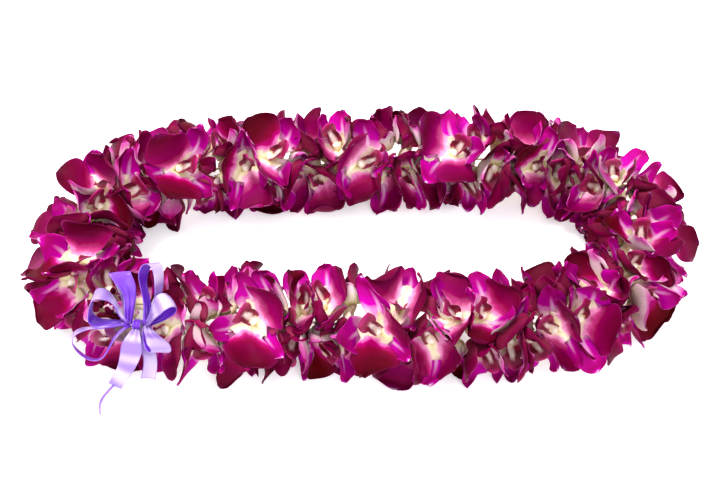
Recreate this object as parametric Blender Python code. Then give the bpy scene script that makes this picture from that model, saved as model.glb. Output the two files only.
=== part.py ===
"""A fresh orchid lei laid in a long loop, with a satin ribbon bow.

A hundred and twelve dendrobium blooms are strung on one closed thread, two at
each place.  The two blooms of a place are one solid: a bead with a bore round
the thread and, for each bloom, a neck, a head, five tepals, a lip and a
column.  The blooms crowd each other: every bloom keeps to its own space about
its head, above the table and clear of the bow, and its tepals bend where they
meet the walls of that space.  The lengths are in metres, the loop lies in the
XY plane and +Z is up.
"""

import math

import bmesh
import bpy
import numpy as np

# ---------------------------------------------------------------- dimensions

PLACES = 56                 # places along the thread with two blooms, apart from the bow's
THREAD_RADIUS = 0.0008
THREAD_SIDES = 6
THREAD_HEIGHT = 0.0240      # the thread's height above the table
BORE_RADIUS = 0.00130
BEAD_RADIUS = 0.0032        # the pierced base of a bloom, round the thread
BEAD_HALF = 0.0034
BEAD_SIDES = 6
HEAD_OUT = 0.0092           # from the thread to the head of the lowest bloom
HEAD_RISE = 0.0052          # how much further out the topmost bloom's head is
OVERLAP_SLOPE = 44.0        # how far the wall between two blooms leans, in degrees
CORE_RADIUS = 0.0026
COLUMN_HEIGHT = 0.0050
LEAF_THICK = 0.0010         # a tepal at its midrib
GAP = 0.0005                # between one bloom and the next
LAYER = 0.0015              # from one ring of tepals to the ring behind it
REACH = (0.037, 0.047)      # how far from the thread the tepals of a bloom come
LOWEST_HEAD = 0.0105        # the least height of a head above the table

RIBBON_WIDTH = 0.0125
RIBBON_THICK = 0.0009
BOW_DECK = 0.0295           # blooms near the bow stay this near the thread
BOW_REACH = 0.078           # how far from the bow the blooms give it room
WAIST_RADIUS = 0.0019
TIE_INNER = 0.0025
TIE_OUTER = 0.0038
TIE_WIDTH = 0.0046
LOOP_STATIONS = 10
TAIL_STATIONS = 9

# The loops of the bow: which end of the waist, the tip (right, up, out), and
# the opening between its two runs (right, up, out).
LOOPS = (
    (-1, (-0.010, 0.031, 0.009), (0.0025, 0.001, 0.0085)),
    (1, (0.011, 0.038, 0.007), (0.0095, -0.003, 0.0040)),
    (1, (0.020, 0.016, 0.010), (-0.0045, 0.003, 0.0100)),
    (1, (0.014, -0.018, 0.010), (0.0060, 0.003, 0.0095)),
    (-1, (-0.031, 0.012, 0.008), (0.0040, 0.0145, 0.0075)),
    (-1, (-0.039, -0.017, 0.006), (-0.0075, 0.0140, 0.0040)),
)
# The loose ends: the path (right, up, out), the way of the width, its share.
TAILS = (
    (((-0.0004, -0.0032, 0.0012), (-0.002, -0.011, 0.0045), (-0.007, -0.022, 0.005), (-0.012, -0.032, 0.004),
      (-0.0145, -0.037, 0.001)), (1.0, -0.32, 0.10), 1.0),
    (((0.0004, -0.0032, -0.0006), (0.002, -0.011, -0.0015), (0.005, -0.023, 0.000), (0.007, -0.032, 0.000),
      (0.007, -0.037, -0.002)), (1.0, 0.10, -0.10), 0.72),
    (((-0.0004, -0.0032, -0.0010), (-0.006, -0.016, 0.001), (-0.014, -0.033, 0.001), (-0.022, -0.047, -0.001),
      (-0.026, -0.058, -0.004)), (0.55, -0.10, 0.85), 0.26),
)

SEED = 23
TURNED_MORE = {5: 40.0, 6: 40.0, 22: 40.0, 53: 40.0}   # places whose blooms are turned further, in degrees

# The thread's route over the table, as a closed run of points.
ROUTE = (
    (-0.149, -0.071), (-0.177, -0.050), (-0.192, -0.014), (-0.185, 0.027),
    (-0.158, 0.054), (-0.112, 0.064), (-0.058, 0.070), (0.000, 0.074),
    (0.058, 0.075), (0.112, 0.072), (0.158, 0.062), (0.187, 0.037),
    (0.193, 0.000), (0.180, -0.038), (0.150, -0.064), (0.104, -0.075),
    (0.050, -0.077), (-0.006, -0.074), (-0.060, -0.074), (-0.106, -0.076),
)
BOW_PLACE = -0.014             # the bow's place along the route, as a share of it
SHOW = (0.0, -0.50, 0.866)  # the way in which the blooms are turned for display
BOW_FACING = (-0.22, -0.56, 0.80)

# azimuth from the dorsal line, length, width, cone angle at the base and the
# tip, cupping, layer, kind
SEPAL = "sepal"
PETAL = "petal"
LIP = "lip"
TEPALS = (
    (0.0, 0.0345, 0.0185, 84.0, 108.0, 0.12, 0, SEPAL),
    (66.0, 0.0360, 0.0320, 60.0, 92.0, 0.18, 1, PETAL),
    (134.0, 0.0345, 0.0185, 84.0, 108.0, 0.12, 0, SEPAL),
    (180.0, 0.0190, 0.0120, 26.0, 60.0, 0.30, 2, LIP),
    (226.0, 0.0345, 0.0185, 84.0, 108.0, 0.12, 0, SEPAL),
    (294.0, 0.0360, 0.0320, 60.0, 92.0, 0.18, 1, PETAL),
)
SECTORS = (33.0, 100.0, 157.0, 203.0, 260.0, 327.0)  # between a tepal and the next
PROFILES = {
    SEPAL: ((0.0, 0.36), (0.15, 0.62), (0.35, 0.92), (0.50, 1.0), (0.70, 0.84), (0.86, 0.50), (1.0, 0.0)),
    PETAL: ((0.0, 0.16), (0.12, 0.26), (0.25, 0.50), (0.40, 0.78), (0.55, 0.96), (0.66, 1.0), (0.80, 0.86),
            (0.92, 0.52), (1.0, 0.0)),
    LIP: ((0.0, 0.40), (0.18, 0.62), (0.36, 0.70), (0.52, 0.80), (0.70, 1.0), (0.86, 0.66), (1.0, 0.0)),
}
STATIONS = {
    SEPAL: (0.28, 0.64, 1.0),
    PETAL: (0.22, 0.50, 0.80, 1.0),
    LIP: (0.40, 0.76, 1.0),
}
MARCH = 16                  # steps along the midrib of a tepal

MATERIALS = {
    "orchid": ((0.33, 0.004, 0.075, 1.0), 0.55, 0.0),
    "thread": ((0.80, 0.78, 0.70, 1.0), 0.80, 0.0),
    "ribbon": ((0.42, 0.22, 0.78, 1.0), 0.32, 0.0),
}


# ------------------------------------------------------------------- vectors

def unit(v):
    v = np.asarray(v, float)
    return v / np.maximum(np.linalg.norm(v, axis=-1, keepdims=True), 1e-12)


def turned(v, axis, angle):
    """The vector v turned about the unit axis."""
    c = math.cos(angle)
    s = math.sin(angle)
    return v * c + np.cross(axis, v) * s + axis * (axis @ v) * (1.0 - c)


def drifted(points):
    """A slow wandering of space, which keeps the table flat."""
    p = np.asarray(points, float)
    x, y, z = p[..., 0], p[..., 1], p[..., 2]
    lift = np.clip(z / 0.016, 0.0, 1.0)
    lift = lift * lift * (3.0 - 2.0 * lift)
    dx = 0.0017 * np.sin(133.0 * y + 95.0 * z + 0.6) + 0.0010 * np.sin(190.0 * z - 87.0 * x)
    dy = 0.0017 * np.sin(118.0 * x - 104.0 * z + 1.9) + 0.0010 * np.sin(171.0 * x + 60.0 * y)
    dz = 0.0019 * np.sin(121.0 * x + 83.0 * y + 2.7) * lift
    return np.stack([x + dx, y + dy, z + dz], axis=-1)


def smooth_profile(u, kind):
    """The half-width of a tepal at u, as a share of its widest."""
    knots = np.array(PROFILES[kind])
    xs = knots[:, 0]
    ys = knots[:, 1]
    slopes = np.gradient(ys, xs)
    u = np.clip(u, 0.0, 1.0)
    k = np.clip(np.searchsorted(xs, u, side="right") - 1, 0, len(xs) - 2)
    h = xs[k + 1] - xs[k]
    t = (u - xs[k]) / h
    a = ys[k] * (1 + 2 * t) * (1 - t) ** 2 + slopes[k] * h * t * (1 - t) ** 2
    b = ys[k + 1] * t * t * (3 - 2 * t) + slopes[k + 1] * h * t * t * (t - 1)
    return np.maximum(a + b, 0.0)


# --------------------------------------------------------------------- route

def route_points(count=1600):
    """A closed, even run of points along the thread, before it drifts."""
    pts = np.array(ROUTE, float)
    n = len(pts)
    out = []
    for k in range(n):
        p0, p1, p2, p3 = pts[k - 1], pts[k], pts[(k + 1) % n], pts[(k + 2) % n]
        for t in np.linspace(0.0, 1.0, 60, endpoint=False):
            out.append(
                0.5 * (2 * p1 + (p2 - p0) * t + (2 * p0 - 5 * p1 + 4 * p2 - p3) * t * t
                       + (3 * p1 - p0 - 3 * p2 + p3) * t ** 3)
            )
    out = np.array(out)
    loop = np.vstack([out, out[:1]])
    run = np.concatenate([[0.0], np.cumsum(np.linalg.norm(np.diff(loop, axis=0), axis=1))])
    s = np.linspace(0.0, run[-1], count, endpoint=False)
    x = np.interp(s, run, loop[:, 0])
    y = np.interp(s, run, loop[:, 1])
    z = THREAD_HEIGHT + 0.0012 * np.sin(2 * math.pi * s / run[-1] * 5 + 0.8)
    return np.stack([x, y, z], axis=-1), run[-1]


ROUTE_XYZ, ROUTE_LENGTH = route_points()


def on_route(share):
    """The point and the direction of the thread at a share of its length."""
    n = len(ROUTE_XYZ)
    f = (share % 1.0) * n
    k = int(f)
    t = f - k
    p = ROUTE_XYZ[k % n] * (1 - t) + ROUTE_XYZ[(k + 1) % n] * t
    q = ROUTE_XYZ[(k + 6) % n] - ROUTE_XYZ[(k - 5) % n]
    return p, unit(q)


# --------------------------------------------------------------------- sites

def bloom_at(place, show, outward, swing, rng, count):
    """One bloom of a place: which way it faces, its head and how it is turned."""
    facing = show * math.cos(swing) + outward * math.sin(swing)
    lean = math.radians(rng.uniform(-14.0, 14.0))
    facing = unit(facing * math.cos(lean) + place["along"] * math.sin(lean))
    rank = 0.75 * max(0.0, 1.0 - abs(swing) / math.radians(105.0)) + 0.25 * ((count * 0.4142136) % 1.0)
    head = place["centre"] + facing * (HEAD_OUT + HEAD_RISE * rank)
    head[2] = max(head[2], LOWEST_HEAD)
    spin = math.radians(137.5 * count + rng.uniform(-30.0, 30.0) + TURNED_MORE.get(count // 2, 0.0))
    return {"centre": place["centre"], "along": place["along"], "facing": facing, "head": head,
            "bow": False, "spin": spin, "rank": rank, "size": rng.uniform(0.98, 1.13),
            "open": rng.uniform(0.76, 1.02), "reach": rng.uniform(*REACH), "seed": int(rng.integers(1, 10 ** 6))}


def make_strung():
    """The places along the thread, each with its blooms; the first holds the bow."""
    rng = np.random.default_rng(SEED)
    strung = []
    slots = PLACES + 1
    for k in range(slots):
        share = BOW_PLACE + k / slots
        if k:
            share += rng.uniform(-0.05, 0.05) / slots
        centre, along = on_route(share)
        place = {"centre": centre, "along": along, "share": share}
        if k == 0:
            facing = unit(np.array(BOW_FACING))
            facing = unit(facing - along * (facing @ along))
            place["blooms"] = [{"centre": centre, "along": along, "facing": facing,
                                "head": centre + facing * HEAD_OUT, "bow": True}]
            strung.append(place)
            continue
        show = np.array(SHOW)
        show = unit(show - along * (show @ along))
        outward = np.cross(along, show)
        if outward @ centre < 0:
            outward = -outward
        side = 1.0 if (k * 0.6180340) % 1.0 > 0.5 else -1.0
        first = side * (4.0 + 58.0 * ((k * 0.7548777) % 1.0)) + rng.uniform(-6.0, 6.0)
        second = first - side * (66.0 + 30.0 * ((k * 0.5698403) % 1.0))
        place["blooms"] = [bloom_at(place, show, outward, math.radians(swing), rng, 2 * k + m)
                           for m, swing in enumerate((first, second))]
        strung.append(place)
    return strung


STRUNG = make_strung()
SITES = [bloom for place in STRUNG for bloom in place["blooms"]]
BOW_SITE = SITES[0]
BOW_KNOT = BOW_SITE["centre"] + BOW_SITE["facing"] * (BOW_DECK + TIE_OUTER + 0.0008)


def leaned(normal, site, other):
    """The wall between two blooms, sloped so that one lies over the edge of the other."""
    up = unit(site["facing"] + other["facing"] + 0.8 * np.array(SHOW))
    up = unit(up - normal * (up @ normal))
    slope = math.radians(OVERLAP_SLOPE) * math.tanh(2.5 * (other["rank"] - site["rank"]))
    return normal * math.cos(slope) + up * math.sin(slope)


def walls_of(site):
    """The flat walls round a bloom's space: outward normals, and the room to each."""
    head = site["head"]
    normals = []
    rooms = []
    for other in SITES:
        if other is site:
            continue
        apart = other["head"] - head
        far = np.linalg.norm(apart)
        if far > 0.085:
            continue
        share = 0.60 if other["bow"] else 0.5
        normal = apart / far
        if not other["bow"]:
            normal = leaned(normal, site, other)
        normals.append(normal)
        rooms.append((apart @ normal) * share - GAP / 2)
    normals.append(np.array([0.0, 0.0, -1.0]))
    rooms.append(head[2])
    apart = head - site["centre"]
    for angle in (-66.0, -22.0, 22.0, 66.0):
        normal = turned(unit(apart), site["along"], math.radians(angle))
        normals.append(normal)
        rooms.append(site["reach"] - apart @ normal)
    if np.linalg.norm(head - BOW_KNOT) < BOW_REACH:
        deck = BOW_SITE["centre"] + BOW_SITE["facing"] * BOW_DECK
        normals.append(BOW_SITE["facing"])
        rooms.append((deck - head) @ BOW_SITE["facing"])
    return np.array(normals), np.array(rooms)


def thread_wall(site, heading):
    """The wall between a tepal and the thread, sloped for one that points aside."""
    aside = unit(np.cross(site["facing"], site["along"]))
    sideways = heading @ aside
    slope = math.radians(66.0) * sideways * abs(sideways)
    normal = -(site["facing"] * math.cos(slope) + aside * math.sin(slope))
    foot = site["centre"] + unit(site["head"] - site["centre"]) * 0.0043
    return normal, (foot - site["head"]) @ normal


# -------------------------------------------------------------------- tepals

def kept_in(points, head, normals, rooms):
    """Points drawn towards the head until each lies within the walls."""
    ray = points - head
    far = np.linalg.norm(ray, axis=-1)
    way = ray / np.maximum(far, 1e-9)[..., None]
    toward = way @ normals.T
    limit = np.where(toward > 0.02, rooms / np.maximum(toward, 0.02), 1.0)
    limit = np.maximum(limit, 1e-4)
    limit = np.power(np.sum(np.power(limit, -9.0), axis=-1), -1.0 / 9.0)
    x = far / limit
    x = np.where(x < 0.66, x, 0.66 + 0.34 * np.tanh((x - 0.66) / 0.34))
    return head + way * (x * limit)[..., None]


class Tepal:
    """One tepal of a bloom: its midrib, found step by step, and its blade."""

    def __init__(self, site, index):
        azimuth, length, width, base, tip, cup, layer, kind = TEPALS[index]
        rng = np.random.default_rng(site["seed"] + 7 * index)
        facing = site["facing"]
        up = np.array([0.0, 0.0, 1.0]) if abs(facing[2]) < 0.9 else np.array([0.0, 1.0, 0.0])
        dorsal = unit(up - facing * (up @ facing))
        dorsal = turned(dorsal, facing, site["spin"])
        turn = math.radians(azimuth + rng.uniform(-6.0, 6.0))
        self.kind = kind
        self.dorsal = dorsal
        self.head = site["head"]
        self.outward = turned(dorsal, facing, turn)
        self.length = length * site["size"] * rng.uniform(0.94, 1.06)
        self.half = 0.5 * width * site["size"] * rng.uniform(0.94, 1.06)
        self.cup = cup + rng.uniform(-0.10, 0.10)
        self.wave = rng.uniform(0.0003, 0.0009) if kind != LIP else 0.0003
        self.phase = rng.uniform(0.0, 6.28)
        normals, rooms = walls_of(site)
        normal, room = thread_wall(site, self.outward)
        self.normals = np.vstack([normals, normal])
        self.rooms = np.append(rooms, room)
        self.rooms = self.rooms - LEAF_THICK * 0.5 - 0.0001 - layer * LAYER
        base = math.radians(base * site["open"] + rng.uniform(-2.0, 2.0))
        tip = math.radians(tip * site["open"] + rng.uniform(-6.0, 6.0))
        self.march(facing, base, tip)

    def march(self, facing, base, tip):
        step = self.length / MARCH
        at = self.head + (facing * math.cos(base) + self.outward * math.sin(base)) * 0.0018
        way = facing * math.cos(base) + self.outward * math.sin(base)
        inner = facing * math.sin(base) - self.outward * math.cos(base)
        points = [at]
        ways = [way]
        inners = [inner]
        reach = 0.0045
        for k in range(MARCH):
            share = (k + 1.0) / MARCH
            cone = base + (tip - base) * share
            natural = facing * math.cos(cone) + self.outward * math.sin(cone)
            front = facing * math.sin(cone) - self.outward * math.cos(cone)
            room = self.rooms - self.normals @ (at - self.head)
            near = np.clip(1.0 - room / reach, 0.0, 1.0)
            near = near * near * (3.0 - 2.0 * near)
            into = np.maximum(self.normals @ natural, 0.0)
            push = (near * into) @ self.normals
            natural = natural - push + facing * 0.45 * float(np.sum(near * into))
            way = unit(0.60 * way + 0.40 * unit(natural))
            front = front - 0.9 * ((near ** 2) @ self.normals)
            inner = unit(0.5 * inner + 0.5 * front)
            inner = unit(inner - way * (inner @ way))
            at = at + way * step
            points.append(at)
            ways.append(way)
            inners.append(inner)
        self.points = np.array(points)
        self.ways = np.array(ways)
        self.inners = np.array(inners)

    def raw(self, u, v):
        """The blade at u along and v across, before space drifts."""
        grid = np.linspace(0.0, 1.0, MARCH + 1)
        mid = np.stack([np.interp(u, grid, self.points[:, c]) for c in range(3)], axis=-1)
        way = np.stack([np.interp(u, grid, self.ways[:, c]) for c in range(3)], axis=-1)
        inner = np.stack([np.interp(u, grid, self.inners[:, c]) for c in range(3)], axis=-1)
        way = unit(way)
        inner = unit(inner - way * np.sum(inner * way, axis=-1, keepdims=True))
        across = np.cross(way, inner)
        half = self.half * smooth_profile(u, self.kind)
        rise = half * self.cup * v * v
        rise = rise + self.wave * np.sin(9.0 * u + self.phase) * v * np.abs(v) * u
        p = mid + across * (half * v)[..., None] + inner * rise[..., None]
        return kept_in(p, self.head, self.normals, self.rooms)

    def at(self, u, v):
        return drifted(self.raw(u, v))

    def inner_at(self, u):
        """The way the inner face looks along the midrib, before the blade bends."""
        grid = np.linspace(0.0, 1.0, MARCH + 1)
        return unit(np.stack([np.interp(u, grid, self.inners[:, c]) for c in range(3)], axis=-1))

    def normal(self, u, v):
        """The way the inner face looks at u, v."""
        d = 0.02
        v = np.clip(v, -0.94, 0.94)
        u = np.clip(u, 0.0, 0.97)
        along = self.at(u + d, v) - self.at(np.maximum(u - d, 0.0), v)
        across = self.at(u, v + 0.05) - self.at(u, v - 0.05)
        inner = self.inner_at(u)
        face = unit(np.cross(across, along))
        face = face * np.where(np.sum(face * inner, axis=-1, keepdims=True) < -0.2, 0.0, 1.0)
        return unit(face + 0.5 * inner)


def blade_rings(tepal):
    """The rings of a blade from its base to its point: an edge, the front, the other edge, the back."""
    rings = []
    for u in STATIONS[tepal.kind][:-1]:
        ua = np.full(3, u)
        va = np.array([-1.0, 0.0, 1.0])
        mid = tepal.at(ua, va)
        up = tepal.normal(ua, va)
        thick = up[1] * LEAF_THICK * 0.5
        rings.append([mid[0], mid[1] + thick, mid[2], mid[1] - thick])
    tip = tepal.at(np.array([1.0]), np.array([0.0]))[0]
    return rings, tip


# -------------------------------------------------------------------- solids

def ring_points(centre, axis, start, radius, sides):
    other = np.cross(axis, start)
    return [
        centre + radius * (start * math.cos(2 * math.pi * k / sides) + other * math.sin(2 * math.pi * k / sides))
        for k in range(sides)
    ]


def zipped(ring_a, angles_a, ring_b, angles_b):
    """Triangles between two closed runs of corners, both in the order of their angles."""
    def sorted_run(ring, angles):
        order = np.argsort(np.array(angles) % (2 * math.pi))
        return [ring[k] for k in order], [float(angles[k] % (2 * math.pi)) for k in order]

    a, at_a = sorted_run(ring_a, angles_a)
    b, at_b = sorted_run(ring_b, angles_b)
    faces = []
    i = 0
    j = 0
    while i < len(a) or j < len(b):
        next_a = at_a[(i + 1) % len(a)] + (2 * math.pi if i + 1 >= len(a) else 0.0)
        next_b = at_b[(j + 1) % len(b)] + (2 * math.pi if j + 1 >= len(b) else 0.0)
        if j >= len(b) or (i < len(a) and next_a <= next_b):
            faces.append((a[i % len(a)], a[(i + 1) % len(a)], b[j % len(b)]))
            i += 1
        else:
            faces.append((a[i % len(a)], b[(j + 1) % len(b)], b[j % len(b)]))
            j += 1
    return faces


def joined(parts):
    points = []
    faces = []
    for some_points, some_faces in parts:
        base = len(points)
        points += [tuple(float(c) for c in p) for p in some_points]
        faces += [tuple(base + i for i in f) for f in some_faces]
    return points, faces


def mesh_object(name, parts, material):
    points, faces = joined(parts)
    mesh = bpy.data.meshes.new(name)
    mesh.from_pydata(points, [], faces)
    mesh.materials.append(material)
    obj = bpy.data.objects.new(name, mesh)
    bpy.context.scene.collection.objects.link(obj)
    return obj


def outward_faces(obj):
    bm = bmesh.new()
    bm.from_mesh(obj.data)
    bmesh.ops.recalc_face_normals(bm, faces=bm.faces)
    if bm.calc_volume(signed=True) < 0.0:
        bmesh.ops.reverse_faces(bm, faces=bm.faces)
    bm.to_mesh(obj.data)
    bm.free()


def shaded_smooth(obj):
    for face in obj.data.polygons:
        face.use_smooth = True


# -------------------------------------------------------------------- thread

def thread_stations():
    """The corners of the thread: two at each bloom and two at the bow."""
    stations = []
    for place in STRUNG:
        reach = BEAD_HALF / ROUTE_LENGTH
        for side in (-1.0, 1.0):
            p, _ = on_route(place["share"] + side * reach)
            stations.append(drifted(p))
    return stations


def thread_starts(stations):
    """A direction square to the thread at every corner, turning as little as may be."""
    count = len(stations)
    starts = []
    for k in range(count):
        axis = unit(stations[(k + 1) % count] - stations[k])
        up = np.array([0.0, 0.0, 1.0])
        starts.append(unit(up - axis * (up @ axis)))
    return starts


def build_thread(material):
    stations = thread_stations()
    starts = thread_starts(stations)
    count = len(stations)
    points = []
    for k in range(count):
        before = unit(stations[k] - stations[k - 1])
        after = unit(stations[(k + 1) % count] - stations[k])
        axis = unit(before + after)
        start = unit(starts[k - 1] + starts[k])
        start = unit(start - axis * (start @ axis))
        points += ring_points(stations[k], axis, start, THREAD_RADIUS, THREAD_SIDES)
    faces = []
    n = THREAD_SIDES
    for k in range(count):
        for j in range(n):
            a = k * n + j
            b = k * n + (j + 1) % n
            c = (k + 1) % count * n + j
            d = (k + 1) % count * n + (j + 1) % n
            faces += [(a, b, d), (a, d, c)]
    obj = mesh_object("thread", [(points, faces)], material)
    outward_faces(obj)
    shaded_smooth(obj)


# -------------------------------------------------------------------- blooms

def limb_faces(points, last, new):
    """Faces between two rings of a limb, creased the same way in front and behind."""
    faces = []
    for m in range(4):
        p, q = last[m], last[(m + 1) % 4]
        p2, q2 = new[m], new[(m + 1) % 4]
        front = m if m < 2 else 3 - m
        a, b = last[front], last[front + 1]
        a2, b2 = new[front], new[front + 1]
        falls = np.linalg.norm(points[a] - points[b2]) <= np.linalg.norm(points[b] - points[a2])
        if m > 1:
            falls = not falls
        faces += [(p, q, q2), (p, q2, p2)] if falls else [(p, q, p2), (q, q2, p2)]
    return faces


def bead_corners(add, a, b, axis, start):
    """The four rings of a bead's corners: outside from a to b, then inside back again."""
    return [add(ring_points(c, axis, start, r, BEAD_SIDES)) for c, r in
            ((a, BEAD_RADIUS), (b, BEAD_RADIUS), (b, BORE_RADIUS), (a, BORE_RADIUS))]


def bead_faces(loops, left_out):
    """The faces of a bead, without the sides from which the necks grow."""
    n = BEAD_SIDES
    faces = []
    for band in range(4):
        for k in range(n):
            if band == 0 and k in left_out:
                continue
            p, q = loops[band][k], loops[band][(k + 1) % n]
            p2, q2 = loops[(band + 1) % 4][k], loops[(band + 1) % 4][(k + 1) % n]
            faces += [(p, q, q2), (p, q2, p2)]
    return faces


def flower_faces(site, add, points, foot, middle, axis):
    """A neck, a head, a column and six limbs, grown from four corners of a bead."""
    faces = []
    facing = site["facing"]
    head = drifted(site["head"])
    way = unit(head - middle)
    way = unit(way - axis * (way @ axis))
    tepals = [Tepal(site, k) for k in range(len(TEPALS))]

    def spot(angle, radius, rise):
        out = turned(tepals[0].dorsal, facing, math.radians(angle))
        return drifted(site["head"] + out * radius + facing * rise)

    edges = add([spot(angle, CORE_RADIUS * 1.1, 0.0) for angle in SECTORS])
    tops = add([spot(row[0], CORE_RADIUS, 0.0009) for row in TEPALS])
    lows = add([spot(row[0], CORE_RADIUS * 0.92, -0.0010) for row in TEPALS])
    peak = add([drifted(site["head"] + facing * COLUMN_HEIGHT)])[0]
    upper = [i for pair in zip(tops, edges) for i in pair]
    lower = [i for pair in zip(lows, edges) for i in pair]
    for k in range(12):
        faces.append((upper[k], upper[(k + 1) % 12], peak))

    side = unit(np.cross(axis, way))

    def angle_about(i, centre):
        d = points[i] - centre
        return math.atan2(d @ side, d @ axis)

    faces += zipped(lower, [angle_about(i, head) for i in lower],
                    foot, [angle_about(i, middle) for i in foot])
    for k, tepal in enumerate(tepals):
        last = [edges[k], tops[k], edges[k - 1], lows[k]]
        rings, tip = blade_rings(tepal)
        for ring in rings:
            new = add(ring)
            faces += limb_faces(points, last, new)
            last = new
        end = add([tip])[0]
        for m in range(4):
            faces.append((last[m], last[(m + 1) % 4], end))
    return faces


def bloom_surface(index, stations):
    """The corners and faces of a place: its bead and its two blooms as one skin."""
    points = []

    def add(some):
        first = len(points)
        points.extend(some)
        return list(range(first, first + len(some)))

    a = stations[2 * index]
    b = stations[2 * index + 1]
    axis = unit(b - a)
    a = a + axis * 0.0003
    b = b - axis * 0.0003
    middle = (a + b) / 2
    blooms = STRUNG[index]["blooms"]
    ways = [unit(np.cross(np.cross(axis, drifted(site["head"]) - middle), axis)) for site in blooms]
    n = BEAD_SIDES
    loops = bead_corners(add, a, b, axis, turned(ways[0], axis, math.pi / n))
    apart = math.atan2(np.cross(ways[0], ways[1]) @ axis, ways[0] @ ways[1])
    grown = [n - 1, (round(apart * n / (2 * math.pi)) - 1) % n]
    faces = bead_faces(loops, grown)
    for site, k in zip(blooms, grown):
        foot = [loops[0][k], loops[0][(k + 1) % n], loops[1][(k + 1) % n], loops[1][k]]
        faces += flower_faces(site, add, points, foot, middle, axis)
    return points, faces


def build_bloom(name, index, stations, material):
    obj = mesh_object(name, [bloom_surface(index, stations)], material)
    outward_faces(obj)
    shaded_smooth(obj)
    return obj


# -------------------------------------------------------------------- ribbon

def bow_axes():
    """Right, up and out as one sees the bow."""
    out = BOW_SITE["facing"]
    right = unit(np.array([1.0, 0.0, 0.0]) - out * out[0])
    return right, np.cross(out, right), out


def placed(p):
    right, up, out = bow_axes()
    return BOW_KNOT + right * p[0] + up * p[1] + out * p[2]


def turned_in(p):
    right, up, out = bow_axes()
    return right * p[0] + up * p[1] + out * p[2]


def curve_through(controls, count):
    pts = np.array(controls, float)
    pts = np.vstack([2 * pts[0] - pts[1], pts, 2 * pts[-1] - pts[-2]])
    spans = len(pts) - 3
    out = []
    for f in np.linspace(0.0, spans, count):
        k = min(int(f), spans - 1)
        t = f - k
        p0, p1, p2, p3 = pts[k], pts[k + 1], pts[k + 2], pts[k + 3]
        out.append(0.5 * (2 * p1 + (p2 - p0) * t + (2 * p0 - 5 * p1 + 4 * p2 - p3) * t * t
                          + (3 * p1 - p0 - 3 * p2 + p3) * t ** 3))
    return np.array(out)


def strip_solid(path, across, halves):
    """A flat strip of four-cornered section along a path."""
    count = len(path)
    ways = unit(np.gradient(path, axis=0))
    points = []
    for k in range(count):
        wide = unit(across[k] - ways[k] * (across[k] @ ways[k]))
        flat = np.cross(ways[k], wide) * RIBBON_THICK * 0.5
        wide = wide * halves[k]
        for a, b in ((1, 1), (-1, 1), (-1, -1), (1, -1)):
            points.append(drifted(path[k] + wide * a + flat * b))
    faces = []
    for k in range(count - 1):
        for m in range(4):
            p, q = 4 * k + m, 4 * k + (m + 1) % 4
            faces += [(p, q, q + 4), (p, q + 4, p + 4)]
    e = 4 * (count - 1)
    faces += [(0, 2, 1), (0, 3, 2), (e, e + 1, e + 2), (e, e + 2, e + 3)]
    return points, faces


def loop_path(side, tip, opening, count):
    """A loop of ribbon out to its tip and back, with its width shares."""
    root = np.array([0.0048 * side, 0.0, 0.0])
    tip = np.array(tip)
    opening = np.array(opening)
    t = np.linspace(0.0, 1.0, count)
    reach = np.sin(math.pi * t) ** 0.92
    spread = 0.62 * np.sin(2 * math.pi * t) * np.sin(math.pi * t) ** 0.5
    local = root + np.outer(reach, tip - root) + np.outer(spread, opening)
    local = local + np.outer(0.0010 * np.cos(math.pi * t), unit(opening))
    width = 0.24 + 0.76 * np.clip(np.minimum(t, 1 - t) / 0.26, 0.0, 1.0)
    across = unit(np.cross(tip - root, opening))
    return local, np.tile(across, (count, 1)), width


def loop_solid(side, tip, opening):
    local, across, width = loop_path(side, tip, opening, LOOP_STATIONS)
    path = np.array([placed(p) for p in local])
    wide = np.array([turned_in(a) for a in across])
    return strip_solid(path, wide, 0.5 * RIBBON_WIDTH * width)


def tail_solid(controls, across, share):
    local = curve_through(controls, TAIL_STATIONS)
    path = np.array([placed(p) for p in local])
    wide = np.tile(turned_in(across), (TAIL_STATIONS, 1))
    t = np.linspace(0.0, 1.0, TAIL_STATIONS)
    halves = 0.5 * RIBBON_WIDTH * share * (0.32 + 0.68 * np.clip(t / 0.35, 0.0, 1.0))
    halves = np.maximum(halves, 0.0016)
    return strip_solid(path, wide, halves)


def lathe(profile, sides):
    """A solid turned about the bow's right axis."""
    points = []
    for x, r in profile:
        for k in range(sides):
            angle = 2 * math.pi * (k + 0.5) / sides
            points.append(drifted(placed((x, r * math.cos(angle), r * math.sin(angle)))))
    faces = []
    rings = len(profile)
    for j in range(rings - 1):
        for k in range(sides):
            p, q = j * sides + k, j * sides + (k + 1) % sides
            faces += [(p, q, q + sides), (p, q + sides, p + sides)]
    e = (rings - 1) * sides
    for k in range(1, sides - 1):
        faces += [(0, k + 1, k), (e, e + k, e + k + 1)]
    return points, faces


def sleeve(a, b, start, outer, inner, sides):
    axis = unit(b - a)
    points = []
    for centre, radius in ((a, outer), (b, outer), (b, inner), (a, inner)):
        points += ring_points(centre, axis, start, radius, sides)
    faces = []
    for band in range(4):
        for k in range(sides):
            p, q = band * sides + k, band * sides + (k + 1) % sides
            p2, q2 = (band + 1) % 4 * sides + k, (band + 1) % 4 * sides + (k + 1) % sides
            faces += [(p, q, q2), (p, q2, p2)]
    return points, faces


def rod(a, b, radius_a, radius_b, sides, start):
    axis = unit(b - a)
    start = unit(start - axis * (start @ axis))
    points = ring_points(a, axis, start, radius_a, sides) + ring_points(b, axis, start, radius_b, sides)
    faces = []
    for k in range(sides):
        p, q = k, (k + 1) % sides
        faces += [(p, q, q + sides), (p, q + sides, p + sides)]
    for k in range(1, sides - 1):
        faces += [(0, k + 1, k), (sides, sides + k, sides + k + 1)]
    return points, faces


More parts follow.
